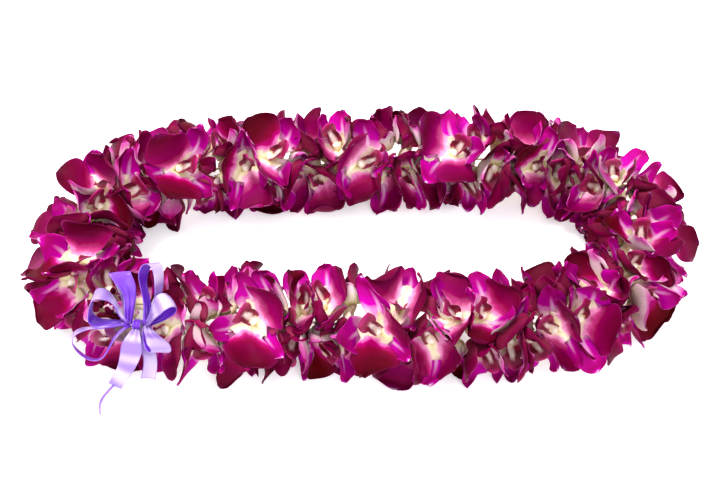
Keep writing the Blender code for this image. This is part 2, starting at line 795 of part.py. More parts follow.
def keep_largest(bm):
    """Leaves only the largest run of joined corners."""
    left = set(bm.verts)
    runs = []
    while left:
        first = left.pop()
        run = [first]
        waiting = [first]
        while waiting:
            vert = waiting.pop()
            for edge in vert.link_edges:
                other = edge.other_vert(vert)
                if other in left:
                    left.remove(other)
                    run.append(other)
                    waiting.append(other)
        runs.append(run)
    runs.sort(key=len)
    for run in runs[:-1]:
        bmesh.ops.delete(bm, geom=run, context="VERTS")


def united(name, parts, material):
    """The parts as one body, joined one by one."""
    obj = mesh_object(name, [parts[0]], material)
    outward_faces(obj)
    for k, part in enumerate(parts[1:]):
        tool = mesh_object("%s_tool_%d" % (name, k), [part], material)
        outward_faces(tool)
        modifier = obj.modifiers.new("union", "BOOLEAN")
        modifier.operation = "UNION"
        modifier.solver = "EXACT"
        modifier.use_self = True
        modifier.object = tool
        bpy.context.view_layer.update()
        graph = bpy.context.evaluated_depsgraph_get()
        mesh = bpy.data.meshes.new_from_object(obj.evaluated_get(graph))
        obj.modifiers.remove(modifier)
        obj.data = mesh
        bpy.data.objects.remove(tool)
        bm = bmesh.new()
        bm.from_mesh(mesh)
        bmesh.ops.remove_doubles(bm, verts=bm.verts, dist=2e-6)
        bmesh.ops.triangulate(bm, faces=bm.faces)
        keep_largest(bm)
        bm.to_mesh(mesh)
        bm.free()
    shaded_smooth(obj)
    return obj


def build_ribbon(stations, material):
    waist = lathe(((-0.0068, 0.0016), (-0.0046, 0.0029), (-0.0029, WAIST_RADIUS), (0.0029, WAIST_RADIUS),
                   (0.0046, 0.0029), (0.0068, 0.0016)), 8)
    united("ribbon_bow", [waist] + [loop_solid(*loop) for loop in LOOPS], material)

    right, up, out = bow_axes()
    half = TIE_WIDTH / 2
    ring = sleeve(placed((-half, 0.0, 0.0)), placed((half, 0.0, 0.0)), unit(up + 0.4 * out),
                  TIE_OUTER, TIE_INNER, 8)
    ring = ([drifted(p) for p in ring[0]], ring[1])
    a = stations[0]
    b = stations[1]
    axis = unit(b - a)
    trim = axis * 0.0008
    low_start = unit(np.array([0.0, 0.0, 1.0]) - axis * axis[2])
    low_ring = sleeve(a + trim, b - trim, low_start, 0.0026, BORE_RADIUS, 6)
    foot = (a + b) / 2
    top = drifted(placed((0.0, 0.0, 0.0)))
    way = unit(top - foot)
    strap = rod(foot + way * 0.0020, top - way * 0.0031, 0.0014, 0.0016, 6, axis)
    united("ribbon_tie", [ring, strap, low_ring] + [tail_solid(*tail) for tail in TAILS], material)


# ----------------------------------------------------------------------- run

def make_material(name):
    colour, roughness, metallic = MATERIALS[name]
    material = bpy.data.materials.new(name)
    material.use_nodes = True
    shader = material.node_tree.nodes["Principled BSDF"]
    shader.inputs["Base Color"].default_value = colour
    shader.inputs["Roughness"].default_value = roughness
    shader.inputs["Metallic"].default_value = metallic
    material.diffuse_color = colour
    return material


def set_down():
    """Moves every piece alike, so that the box stands on the origin."""
    objects = [obj for obj in bpy.context.scene.collection.objects if obj.type == "MESH"]
    corners = []
    for obj in objects:
        co = np.empty(len(obj.data.vertices) * 3)
        obj.data.vertices.foreach_get("co", co)
        corners.append(co.reshape(-1, 3))
    everything = np.vstack(corners)
    low = everything.min(axis=0)
    high = everything.max(axis=0)
    shift = -np.array([(low[0] + high[0]) / 2, (low[1] + high[1]) / 2, low[2]])
    for obj, co in zip(objects, corners):
        obj.data.vertices.foreach_set("co", (co + shift).ravel())
        obj.data.update()


def main():
    for obj in list(bpy.data.objects):
        bpy.data.objects.remove(obj)
    orchid = make_material("orchid")
    thread = make_material("thread")
    stations = thread_stations()
    build_thread(thread)
    for index in range(1, len(STRUNG)):
        build_bloom("bloom_%02d" % index, index, stations, orchid)
    build_ribbon(stations, make_material("ribbon"))
    set_down()


main()
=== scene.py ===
"""A fresh orchid lei with a satin bow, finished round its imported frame.

Every place along the thread is grown again in fine detail in the space of its
own frame node: two blooms, each with five thin tepals, a lip, a column, a spur
and a neck, on one pierced base. The thread is twisted from three plies, and
the bow is cut from satin ribbon. Lengths are in metres, the loop lies in the
XY plane and +Z is up.
"""

import math

import bpy
import numpy as np
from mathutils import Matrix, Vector


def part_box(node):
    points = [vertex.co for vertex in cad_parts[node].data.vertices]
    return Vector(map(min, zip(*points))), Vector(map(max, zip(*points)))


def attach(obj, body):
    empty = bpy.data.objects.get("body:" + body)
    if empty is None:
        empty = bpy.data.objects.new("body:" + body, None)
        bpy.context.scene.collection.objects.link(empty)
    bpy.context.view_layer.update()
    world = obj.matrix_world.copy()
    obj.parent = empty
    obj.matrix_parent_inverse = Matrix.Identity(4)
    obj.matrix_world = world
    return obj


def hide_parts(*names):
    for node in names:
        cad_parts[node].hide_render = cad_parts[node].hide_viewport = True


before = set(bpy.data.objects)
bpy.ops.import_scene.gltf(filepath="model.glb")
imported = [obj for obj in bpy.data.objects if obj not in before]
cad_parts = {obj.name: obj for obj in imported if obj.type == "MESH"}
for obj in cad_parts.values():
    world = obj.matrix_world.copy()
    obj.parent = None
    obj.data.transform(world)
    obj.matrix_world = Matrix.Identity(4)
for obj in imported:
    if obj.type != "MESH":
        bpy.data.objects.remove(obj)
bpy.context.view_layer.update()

# ------------------------------------------------------------------- layout
# These are the measures that the solids of the frame were laid out with.

PLACES = 56                 # places along the thread with two blooms, apart from the bow's
THREAD_RADIUS = 0.0008
THREAD_SIDES = 6
THREAD_HEIGHT = 0.0240      # the thread's height above the table
THREAD_SWAY = 0.0012        # how far it rises and falls on its way round
BORE_RADIUS = 0.00130
BEAD_HALF = 0.0034          # half the length of a pierced base
HEAD_OUT = 0.0092           # from the thread to the head of the lowest bloom
HEAD_RISE = 0.0052          # how much further out the topmost bloom's head is
LOWEST_HEAD = 0.0105        # the least height of a head above the table
OVERLAP_SLOPE = 44.0        # how far the wall between two blooms leans, in degrees
LEAF_THICK = 0.0010         # the solid of a tepal at its midrib
GAP = 0.0005                # between one bloom and the next
LAYER = 0.0015              # from one ring of tepals to the ring behind it
SKIN = 0.0001               # between a tepal and the walls of its space
REACH = (0.037, 0.047)      # how far from the thread the tepals of a bloom come
NEIGHBOURS = 0.085          # heads further apart than this need no wall
OUTER_WALLS = (-66.0, -22.0, 22.0, 66.0)    # their turns about the thread, in degrees
THREAD_SLOPE = 66.0         # how far the wall towards the thread leans at most, in degrees
THREAD_CLEAR = 0.0043       # from the thread to the foot of that wall
FACED = 0.02                # a wall counts where a ray leans to it by more than this
SOFT_FROM = 0.66            # the share of the way to a wall from which a blade gives way
WALL_BLEND = 9.0            # how sharply one wall runs into the next
MARCH = 16                  # steps along the midrib of a tepal
MIDRIB_START = 0.0018       # from the head to the base of a midrib
MIDRIB_KEEPS = 0.60         # how much of its way it keeps at each step
WALL_FELT = 0.0045          # how near a wall it starts to bend along it
WALL_LIFTS = 0.45           # how strongly a wall lifts it towards the front
WALL_TURNS = 0.9            # how strongly a wall turns its inner side away

RIBBON_WIDTH = 0.0125
BOW_DECK = 0.0295           # blooms near the bow stay this near the thread
BOW_REACH = 0.078           # how far from the bow the blooms give it room
BOW_PLACE = -0.014          # the bow's place along the route, as a share of it
BOW_SHARE = 0.60            # how much of the way to the bow its neighbours have
KNOT_STAND = 0.0008         # how far the bow's knot stands off its deck
TIE_INNER = 0.0025
TIE_OUTER = 0.0038
TIE_WIDTH = 0.0046

# The loops of the bow: which end of the waist, the tip (right, up, out), and
# the opening between its two runs (right, up, out).
LOOPS = (
    (-1, (-0.010, 0.031, 0.009), (0.0025, 0.001, 0.0085)),
    (1, (0.011, 0.038, 0.007), (0.0095, -0.003, 0.0040)),
    (1, (0.020, 0.016, 0.010), (-0.0045, 0.003, 0.0100)),
    (1, (0.014, -0.018, 0.010), (0.0060, 0.003, 0.0095)),
    (-1, (-0.031, 0.012, 0.008), (0.0040, 0.0145, 0.0075)),
    (-1, (-0.039, -0.017, 0.006), (-0.0075, 0.0140, 0.0040)),
)
# The loose ends: the path (right, up, out), the way of the width, its share.
TAILS = (
    (((-0.0004, -0.0032, 0.0012), (-0.002, -0.011, 0.0045), (-0.007, -0.022, 0.005),
      (-0.012, -0.032, 0.004), (-0.0145, -0.037, 0.001)), (1.0, -0.32, 0.10), 1.0),
    (((0.0004, -0.0032, -0.0006), (0.002, -0.011, -0.0015), (0.005, -0.023, 0.000),
      (0.007, -0.032, 0.000), (0.007, -0.037, -0.002)), (1.0, 0.10, -0.10), 0.72),
    (((-0.0004, -0.0032, -0.0010), (-0.006, -0.016, 0.001), (-0.014, -0.033, 0.001),
      (-0.022, -0.047, -0.001), (-0.026, -0.058, -0.004)), (0.55, -0.10, 0.85), 0.26),
)
THIN_TAIL = 2               # the loose end whose violet face, painted as the shaded side, shows

SEED = 23
SHARE_SPREAD = 0.05         # how far a place strays, as a share of its own length
FIRST_SWING = (4.0, 58.0)   # of a place's first bloom: the least, and what is added
SECOND_SWING = (66.0, 30.0)     # from the first bloom to the second, in the same way
SWING_SPREAD = 6.0
LEAN = 14.0                 # how far a bloom leans along the thread, in degrees
RANK_BY_HEIGHT = 0.75       # how much of a bloom's rank comes from how near the top it is
TOP_REACH = 105.0           # how far from the topmost line blooms still rise, in degrees
SPIN_STEP = 137.5           # from one bloom to the next, in degrees
SPIN_SPREAD = 30.0
SIZES = (0.98, 1.13)        # of the blooms
OPENINGS = (0.76, 1.02)     # shares of the full cone angles
MADE = (0.94, 1.06)         # how a tepal's own length and width vary
# Irrational steps, which spread the blooms evenly: rank, side, swing, and the
# swing of the second bloom.
RANK_STEP, SIDE_STEP, SWING_STEP, SECOND_STEP = 0.4142136, 0.6180340, 0.7548777, 0.5698403
TURNED_MORE = {5: 40.0, 6: 40.0, 22: 40.0, 53: 40.0}   # further turns of some places, in degrees

# The thread's route over the table, as a closed run of points.
ROUTE = (
    (-0.149, -0.071), (-0.177, -0.050), (-0.192, -0.014), (-0.185, 0.027),
    (-0.158, 0.054), (-0.112, 0.064), (-0.058, 0.070), (0.000, 0.074),
    (0.058, 0.075), (0.112, 0.072), (0.158, 0.062), (0.187, 0.037),
    (0.193, 0.000), (0.180, -0.038), (0.150, -0.064), (0.104, -0.075),
    (0.050, -0.077), (-0.006, -0.074), (-0.060, -0.074), (-0.106, -0.076),
)
SHOW = (0.0, -0.50, 0.866)  # the way in which the blooms are turned for display
BOW_FACING = (-0.22, -0.56, 0.80)

SEPAL = "sepal"
PETAL = "petal"
LIP = "lip"
# azimuth from the dorsal line, length, width, cone angle at the base and the
# tip, cupping, layer, kind
TEPALS = (
    (0.0, 0.0345, 0.0185, 84.0, 108.0, 0.12, 0, SEPAL),
    (66.0, 0.0360, 0.0320, 60.0, 92.0, 0.18, 1, PETAL),
    (134.0, 0.0345, 0.0185, 84.0, 108.0, 0.12, 0, SEPAL),
    (180.0, 0.0190, 0.0120, 26.0, 60.0, 0.30, 2, LIP),
    (226.0, 0.0345, 0.0185, 84.0, 108.0, 0.12, 0, SEPAL),
    (294.0, 0.0360, 0.0320, 60.0, 92.0, 0.18, 1, PETAL),
)
# The half-width of a blade along its length, as a share of its widest.
PROFILES = {
    SEPAL: ((0.0, 0.36), (0.15, 0.62), (0.35, 0.92), (0.50, 1.0), (0.70, 0.84), (0.86, 0.50),
            (1.0, 0.0)),
    PETAL: ((0.0, 0.16), (0.12, 0.26), (0.25, 0.50), (0.40, 0.78), (0.55, 0.96), (0.66, 1.0),
            (0.80, 0.86), (0.92, 0.52), (1.0, 0.0)),
}

# -------------------------------------------------------------- fine measures

BLADE_ROWS = {SEPAL: 20, PETAL: 22, LIP: 20}
BLADE_COLUMNS = {SEPAL: 11, PETAL: 15, LIP: 15}
BLADE_THICK = 0.00050
PRESSED = 0.0013            # how far a soft tepal reaches past the wall of its space
LAYER_GIVEN_BACK = 0.7      # how much of its layer's distance it takes up again
FULLER = 1.12               # the width of a soft tepal, over that of its solid
FOOT = 0.74                 # the width of its foot, over its greatest width
DENT = 0.00080              # the depth of the dents over a blade
RIM_WAVE = 0.0011           # the height of the waves along its rim
ABOVE_TABLE = 0.0006        # the least height of a blade
RIM_TAPER = 0.16            # the share of its half-width over which a blade thins out
TIP_TAPER = 0.06            # the share of its length over which it does
LIP_RUFFLE = 0.0007
# A tepal's tint: its middle, what the bloom adds at most, and its own spread.
TINT_MIDDLE, TINT_SHARED, TINT_SPREAD = 0.40, 0.20, 0.46
# From which draw on the back is pale, how pale the others are, and what is added.
PALE_SEPAL = (0.48, 0.10, 0.90)
PALE_PETAL = (0.84, 0.08, 0.70)

COLUMN_LONG = 0.0084
COLUMN_WIDE = 0.0033
COLUMN_RINGS = 11
COLUMN_SINK = 0.0012        # how far its foot starts below the head
SPUR_LONG = 0.0100
SPUR_RINGS = 7
SPUR_BEND = 0.0014          # how far its tip bends back
SPUR_LOW = 0.0008           # its least height above the table
NECK_RINGS = 8
NECK_START = 0.0016         # from the thread's middle line to the foot of a neck
NECK_SHORT = 0.0010         # how much shorter a neck is than the way to its head
BEAD_TRIM = 0.0003          # taken off each end of a pierced base
BEAD_LUMPS = 0.16
BEAD_SIDES = 24
# A pierced base from end to end: shares of its length, with radii.
BEAD_PROFILE = ((0.00, BORE_RADIUS), (0.0, 0.0028), (-0.10, 0.0040), (0.08, 0.0050),
                (0.5, 0.0056), (0.92, 0.0050), (1.10, 0.0040), (1.0, 0.0028), (1.0, BORE_RADIUS))

PLIES = 3
PLY_RADIUS = 0.00040
PLY_SIDES = 6
LAY_RADIUS = 0.00042        # from the thread's middle line to that of a ply
THREAD_TURNS = 240
THREAD_STEPS = 2600

RIBBON_FINE = 0.00042       # the thickness of the satin
RIBBON_COLUMNS = 13
LOOP_ROOT = 0.0048          # from the knot to the root of a loop
LOOP_PARTED = 0.0010        # how far the two ends of a loop lie from its root
LOOP_ROWS = 46
TAIL_ROWS = 34
TIE_ROWS = 40
TIE_TURNS = 1.04
TIE_WOUND = 0.0003          # how far in the tie starts and how far out it ends
PLEAT = 0.0010
THIN_HALF = 0.0016          # the least half-width of a loose end

AIM = (-0.0020, 0.0285, 0.0)
CAMERA_FAR = 0.812
CAMERA_RISE = 50.0          # degrees above the table
LENS = 56.0
SKY = (0.95, 0.975, 1.0, 1.0)
SKY_STRENGTH = 1.20
# name, place, size, power, colour
LIGHTS = (
    ("key", (-0.45, 0.35, 1.35), 0.7, 17.0, (1.0, 0.985, 0.96)),
    ("front", (0.50, -1.10, 1.20), 1.2, 8.0, (0.97, 0.98, 1.0)),
)
LIT = (0.0, 0.0, 0.02)      # the point that the lights look at
FLOOR_HALF = 3.0            # half a side of the floor
FLOOR_HEIGHT = -0.0002
FLOOR_GLOW = 0.28           # keeps the shadows on the floor light


# ------------------------------------------------------------------- vectors

def unit(v):
    v = np.asarray(v, float)
    return v / np.maximum(np.linalg.norm(v, axis=-1, keepdims=True), 1e-12)


def square_to(v, axis):
    """The direction nearest to v that is square to the unit axis."""
    return unit(v - axis * (v @ axis))


def eased(x):
    """A share of 0 to 1 with soft ends."""
    return x * x * (3.0 - 2.0 * x)


def turned(v, axis, angle):
    """The vector v turned about the unit axis."""
    c = math.cos(angle)
    s = math.sin(angle)
    return v * c + np.cross(axis, v) * s + axis * (axis @ v) * (1.0 - c)


def drifted(points):
    """A slow wandering of space, which keeps the table flat."""
    p = np.asarray(points, float)
    x, y, z = p[..., 0], p[..., 1], p[..., 2]
    lift = eased(np.clip(z / 0.016, 0.0, 1.0))
    dx = 0.0017 * np.sin(133.0 * y + 95.0 * z + 0.6) + 0.0010 * np.sin(190.0 * z - 87.0 * x)
    dy = 0.0017 * np.sin(118.0 * x - 104.0 * z + 1.9) + 0.0010 * np.sin(171.0 * x + 60.0 * y)
    dz = 0.0019 * np.sin(121.0 * x + 83.0 * y + 2.7) * lift
    return np.stack([x + dx, y + dy, z + dz], axis=-1)


def smooth_profile(u, kind):
    """The half-width of a sepal or a petal at u, as a share of its widest."""
    xs, ys = np.array(PROFILES[kind]).T
    slopes = np.gradient(ys, xs)
    u = np.clip(u, 0.0, 1.0)
    k = np.clip(np.searchsorted(xs, u, side="right") - 1, 0, len(xs) - 2)
    h = xs[k + 1] - xs[k]
    t = (u - xs[k]) / h
    a = ys[k] * (1 + 2 * t) * (1 - t) ** 2 + slopes[k] * h * t * (1 - t) ** 2
    b = ys[k + 1] * t * t * (3 - 2 * t) + slopes[k + 1] * h * t * t * (t - 1)
    return np.maximum(a + b, 0.0)


def spline(p0, p1, p2, p3, t):
    """A point between p1 and p2 on a smooth run through all four."""
    return 0.5 * (2 * p1 + (p2 - p0) * t + (2 * p0 - 5 * p1 + 4 * p2 - p3) * t * t
                  + (3 * p1 - p0 - 3 * p2 + p3) * t ** 3)


def run_lengths(points):
    """The length along a run of points, up to each."""
    steps = np.linalg.norm(np.diff(points, axis=0), axis=1)
    return np.concatenate([[0.0], np.cumsum(steps)])


# --------------------------------------------------------------------- route

def route_points(count=1600):
    """A closed, even run of points along the thread, before it drifts."""
    pts = np.array(ROUTE, float)
    n = len(pts)
    out = [spline(pts[k - 1], pts[k], pts[(k + 1) % n], pts[(k + 2) % n], t)
           for k in range(n) for t in np.linspace(0.0, 1.0, 60, endpoint=False)]
    loop = np.vstack([out, out[:1]])
    run = run_lengths(loop)
    s = np.linspace(0.0, run[-1], count, endpoint=False)
    x = np.interp(s, run, loop[:, 0])
    y = np.interp(s, run, loop[:, 1])
    z = THREAD_HEIGHT + THREAD_SWAY * np.sin(2 * math.pi * s / run[-1] * 5 + 0.8)
    return np.stack([x, y, z], axis=-1), run[-1]


ROUTE_XYZ, ROUTE_LENGTH = route_points()


def on_route(share):
    """The point and the direction of the thread at a share of its length."""
    n = len(ROUTE_XYZ)
    f = (share % 1.0) * n
    k = int(f)
    t = f - k
    p = ROUTE_XYZ[k % n] * (1 - t) + ROUTE_XYZ[(k + 1) % n] * t
    q = ROUTE_XYZ[(k + 6) % n] - ROUTE_XYZ[(k - 5) % n]
    return p, unit(q)


# --------------------------------------------------------------------- sites

def bloom_at(place, show, outward, swing, rng, count):
    """One bloom of a place: which way it faces, its head and how it is turned."""
    facing = show * math.cos(swing) + outward * math.sin(swing)
    lean = math.radians(rng.uniform(-LEAN, LEAN))
    facing = unit(facing * math.cos(lean) + place["along"] * math.sin(lean))
    topmost = max(0.0, 1.0 - abs(swing) / math.radians(TOP_REACH))
    rank = RANK_BY_HEIGHT * topmost + (1.0 - RANK_BY_HEIGHT) * ((count * RANK_STEP) % 1.0)
    head = place["centre"] + facing * (HEAD_OUT + HEAD_RISE * rank)
    head[2] = max(head[2], LOWEST_HEAD)
    spin = SPIN_STEP * count + rng.uniform(-SPIN_SPREAD, SPIN_SPREAD)
    spin += TURNED_MORE.get(count // 2, 0.0)
    return {"centre": place["centre"], "along": place["along"], "facing": facing, "head": head,
            "bow": False, "spin": math.radians(spin), "rank": rank,
            "size": rng.uniform(*SIZES), "open": rng.uniform(*OPENINGS),
            "reach": rng.uniform(*REACH), "seed": int(rng.integers(1, 10 ** 6))}


def make_strung():
    """The places along the thread, each with its blooms; the first holds the bow."""
    rng = np.random.default_rng(SEED)
    strung = []
    slots = PLACES + 1
    for k in range(slots):
        share = BOW_PLACE + k / slots
        if k:
            share += rng.uniform(-SHARE_SPREAD, SHARE_SPREAD) / slots
        centre, along = on_route(share)
        place = {"centre": centre, "along": along, "share": share}
        strung.append(place)
        if k == 0:
            facing = square_to(unit(np.array(BOW_FACING)), along)
            place["blooms"] = [{"centre": centre, "along": along, "facing": facing,
                                "head": centre + facing * HEAD_OUT, "bow": True}]
            continue
        show = square_to(np.array(SHOW), along)
        outward = np.cross(along, show)
        if outward @ centre < 0:
            outward = -outward
        side = 1.0 if (k * SIDE_STEP) % 1.0 > 0.5 else -1.0
        least, added = FIRST_SWING
        first = side * (least + added * ((k * SWING_STEP) % 1.0))
        first += rng.uniform(-SWING_SPREAD, SWING_SPREAD)
        least, added = SECOND_SWING
        second = first - side * (least + added * ((k * SECOND_STEP) % 1.0))
        place["blooms"] = [bloom_at(place, show, outward, math.radians(swing), rng, 2 * k + m)
                           for m, swing in enumerate((first, second))]
    return strung


STRUNG = make_strung()
SITES = [bloom for place in STRUNG for bloom in place["blooms"]]
BOW_SITE = SITES[0]
BOW_KNOT = BOW_SITE["centre"] + BOW_SITE["facing"] * (BOW_DECK + TIE_OUTER + KNOT_STAND)


def leaned(normal, site, other):
    """The wall between two blooms, sloped so that one lies over the edge of the other."""
    up = square_to(unit(site["facing"] + other["facing"] + 0.8 * np.array(SHOW)), normal)
    slope = math.radians(OVERLAP_SLOPE) * math.tanh(2.5 * (other["rank"] - site["rank"]))
    return normal * math.cos(slope) + up * math.sin(slope)


def walls_of(site):
    """The flat walls round a bloom's space.

    They come as outward normals and the room to each, with the number of
    walls that stand towards neighbours. Those come first.
    """
    head = site["head"]
    normals = []
    rooms = []
    for other in SITES:
        apart = other["head"] - head
        far = np.linalg.norm(apart)
        if other is site or far > NEIGHBOURS:
            continue
        normal = apart / far
        share = BOW_SHARE
        if not other["bow"]:
            normal = leaned(normal, site, other)
            share = 0.5
        normals.append(normal)
        rooms.append((apart @ normal) * share - GAP / 2)
    beside = len(rooms)
    normals.append(np.array([0.0, 0.0, -1.0]))
    rooms.append(head[2])
    apart = head - site["centre"]
    for angle in OUTER_WALLS:
        normal = turned(unit(apart), site["along"], math.radians(angle))
        normals.append(normal)
        rooms.append(site["reach"] - apart @ normal)
    if np.linalg.norm(head - BOW_KNOT) < BOW_REACH:
        deck = BOW_SITE["centre"] + BOW_SITE["facing"] * BOW_DECK
        normals.append(BOW_SITE["facing"])
        rooms.append((deck - head) @ BOW_SITE["facing"])
    return normals, rooms, beside


def thread_wall(site, heading):
    """The wall between a tepal and the thread, sloped for one that points aside."""
    aside = unit(np.cross(site["facing"], site["along"]))
    sideways = heading @ aside
    slope = math.radians(THREAD_SLOPE) * sideways * abs(sideways)
    normal = -(site["facing"] * math.cos(slope) + aside * math.sin(slope))
    foot = site["centre"] + unit(site["head"] - site["centre"]) * THREAD_CLEAR
    return normal, (foot - site["head"]) @ normal


# -------------------------------------------------------------------- tepals

def kept_in(points, head, normals, rooms):
    """Points drawn towards the head until each lies within the walls."""
    ray = points - head
    far = np.linalg.norm(ray, axis=-1)
    way = ray / np.maximum(far, 1e-9)[..., None]
    toward = way @ normals.T
    limit = np.where(toward > FACED, rooms / np.maximum(toward, FACED), 1.0)
    limit = np.maximum(limit, 1e-4)
    limit = np.power(np.sum(np.power(limit, -WALL_BLEND), axis=-1), -1.0 / WALL_BLEND)
    x = far / limit
    rest = 1.0 - SOFT_FROM
    x = np.where(x < SOFT_FROM, x, SOFT_FROM + rest * np.tanh((x - SOFT_FROM) / rest))
    return head + way * (x * limit)[..., None]


class Tepal:
    """One tepal of a bloom: its midrib, found step by step, and its soft blade.

    The blade is fuller than its solid and presses right up against its
    neighbours, as thin fresh petals do.
    """

    def __init__(self, site, index):
        azimuth, length, width, base, tip, cup, layer, kind = TEPALS[index]
        rng = np.random.default_rng(site["seed"] + 7 * index)
        facing = site["facing"]
        up = np.array([0.0, 0.0, 1.0] if abs(facing[2]) < 0.9 else [0.0, 1.0, 0.0])
        turn = math.radians(azimuth + rng.uniform(-6.0, 6.0))
        self.kind = kind
        self.dorsal = turned(square_to(up, facing), facing, site["spin"])
        self.head = site["head"]
        self.outward = turned(self.dorsal, facing, turn)
        self.length = length * site["size"] * rng.uniform(*MADE)
        self.half = 0.5 * width * site["size"] * rng.uniform(*MADE)
        self.cup = cup + rng.uniform(-0.10, 0.10)
        self.wave = rng.uniform(0.0003, 0.0009) if kind != LIP else 0.0003
        self.phase = rng.uniform(0.0, 6.28)
        normals, rooms, beside = walls_of(site)
        normal, room = thread_wall(site, self.outward)
        self.normals = np.vstack([normals, normal])
        self.rooms = np.append(rooms, room) - LEAF_THICK * 0.5 - SKIN - layer * LAYER
        base = math.radians(base * site["open"] + rng.uniform(-2.0, 2.0))
        tip = math.radians(tip * site["open"] + rng.uniform(-6.0, 6.0))
        self.march(facing, base, tip)
        self.rooms[:beside] += LEAF_THICK * 0.5 + PRESSED + LAYER_GIVEN_BACK * LAYER * layer
        self.half *= 1.0 if kind == LIP else FULLER

    def march(self, facing, base, tip):
        """Finds the midrib, which opens from its base and bends along walls."""
        step = self.length / MARCH
        way = facing * math.cos(base) + self.outward * math.sin(base)
        inner = facing * math.sin(base) - self.outward * math.cos(base)
        at = self.head + way * MIDRIB_START
        run = [(at, way, inner)]
        for k in range(MARCH):
            share = (k + 1.0) / MARCH
            cone = base + (tip - base) * share
            natural = facing * math.cos(cone) + self.outward * math.sin(cone)
            front = facing * math.sin(cone) - self.outward * math.cos(cone)
            room = self.rooms - self.normals @ (at - self.head)
            near = eased(np.clip(1.0 - room / WALL_FELT, 0.0, 1.0))
            into = np.maximum(self.normals @ natural, 0.0)
            push = (near * into) @ self.normals
            natural = natural - push + facing * WALL_LIFTS * float(np.sum(near * into))
            way = unit(MIDRIB_KEEPS * way + (1.0 - MIDRIB_KEEPS) * unit(natural))
            front = front - WALL_TURNS * ((near ** 2) @ self.normals)
            inner = square_to(unit(0.5 * inner + 0.5 * front), way)
            at = at + way * step
            run.append((at, way, inner))
        self.run = np.array(run)

    def rib(self, u):
        """The midrib at u: its points, their inner sides and the ways across."""
        steps = np.linspace(0.0, 1.0, MARCH + 1)
        mid, way, inner = (np.stack([np.interp(u, steps, self.run[:, part, c]) for c in range(3)],
                                    axis=-1) for part in range(3))
        way = unit(way)
        inner = unit(inner - way * np.sum(inner * way, axis=-1, keepdims=True))
        return mid, inner, np.cross(way, inner)

    def laid(self, mid, inner, across, wide, rise):
        """Points beside and above the midrib, kept within the walls and drifted."""
        p = mid + across * wide[..., None] + inner * rise[..., None]
        return drifted(kept_in(p, self.head, self.normals, self.rooms))

    def blade(self, u, v):
        """The blade of a sepal or a petal, with a foot that wraps the heart of its bloom."""
        foot = FOOT * np.clip((u + 0.02) / 0.10, 0.0, 1.0) * np.clip((0.46 - u) / 0.34, 0.0, 1.0)
        half = self.half * np.maximum(smooth_profile(u, self.kind), foot)
        rise = half * self.cup * v * v
        rise = rise + self.wave * np.sin(9.0 * u + self.phase) * v * np.abs(v) * u
        return self.laid(*self.rib(u), half * v, rise)

    def lip(self, u, v):
        """Side lobes that curl up round the column, then a ruffled middle lobe."""
        half = np.interp(u, (0.0, 0.12, 0.30, 0.46, 0.58, 0.74, 0.88, 0.96, 1.0),
                         (0.0022, 0.0050, 0.0082, 0.0074, 0.0050, 0.0068, 0.0056, 0.0030, 0.0))
        curl = np.interp(u, (0.0, 0.20, 0.45, 0.62, 0.80, 1.0), (1.5, 2.0, 1.7, 0.7, -0.3, -0.6))
        curl = np.where(np.abs(curl) < 0.05, 0.05, curl)
        bend = curl * v
        wide = np.sin(bend) / curl * half
        rise = (1.0 - np.cos(bend)) / curl * half
        ruffle = LIP_RUFFLE * np.sin(21.0 * u + self.phase) * np.abs(v) ** 3
        return self.laid(*self.rib(u), wide, rise + ruffle * np.clip((u - 0.25) / 0.2, 0, 1))


# --------------------------------------------------------------------- nodes

def linear(r, g, b):
    """A display colour out of 255 as scene-linear light."""
    def light(c):
        return c / 12.92 if c <= 0.04045 else ((c + 0.055) / 1.055) ** 2.4
    return light(r / 255.0), light(g / 255.0), light(b / 255.0), 1.0


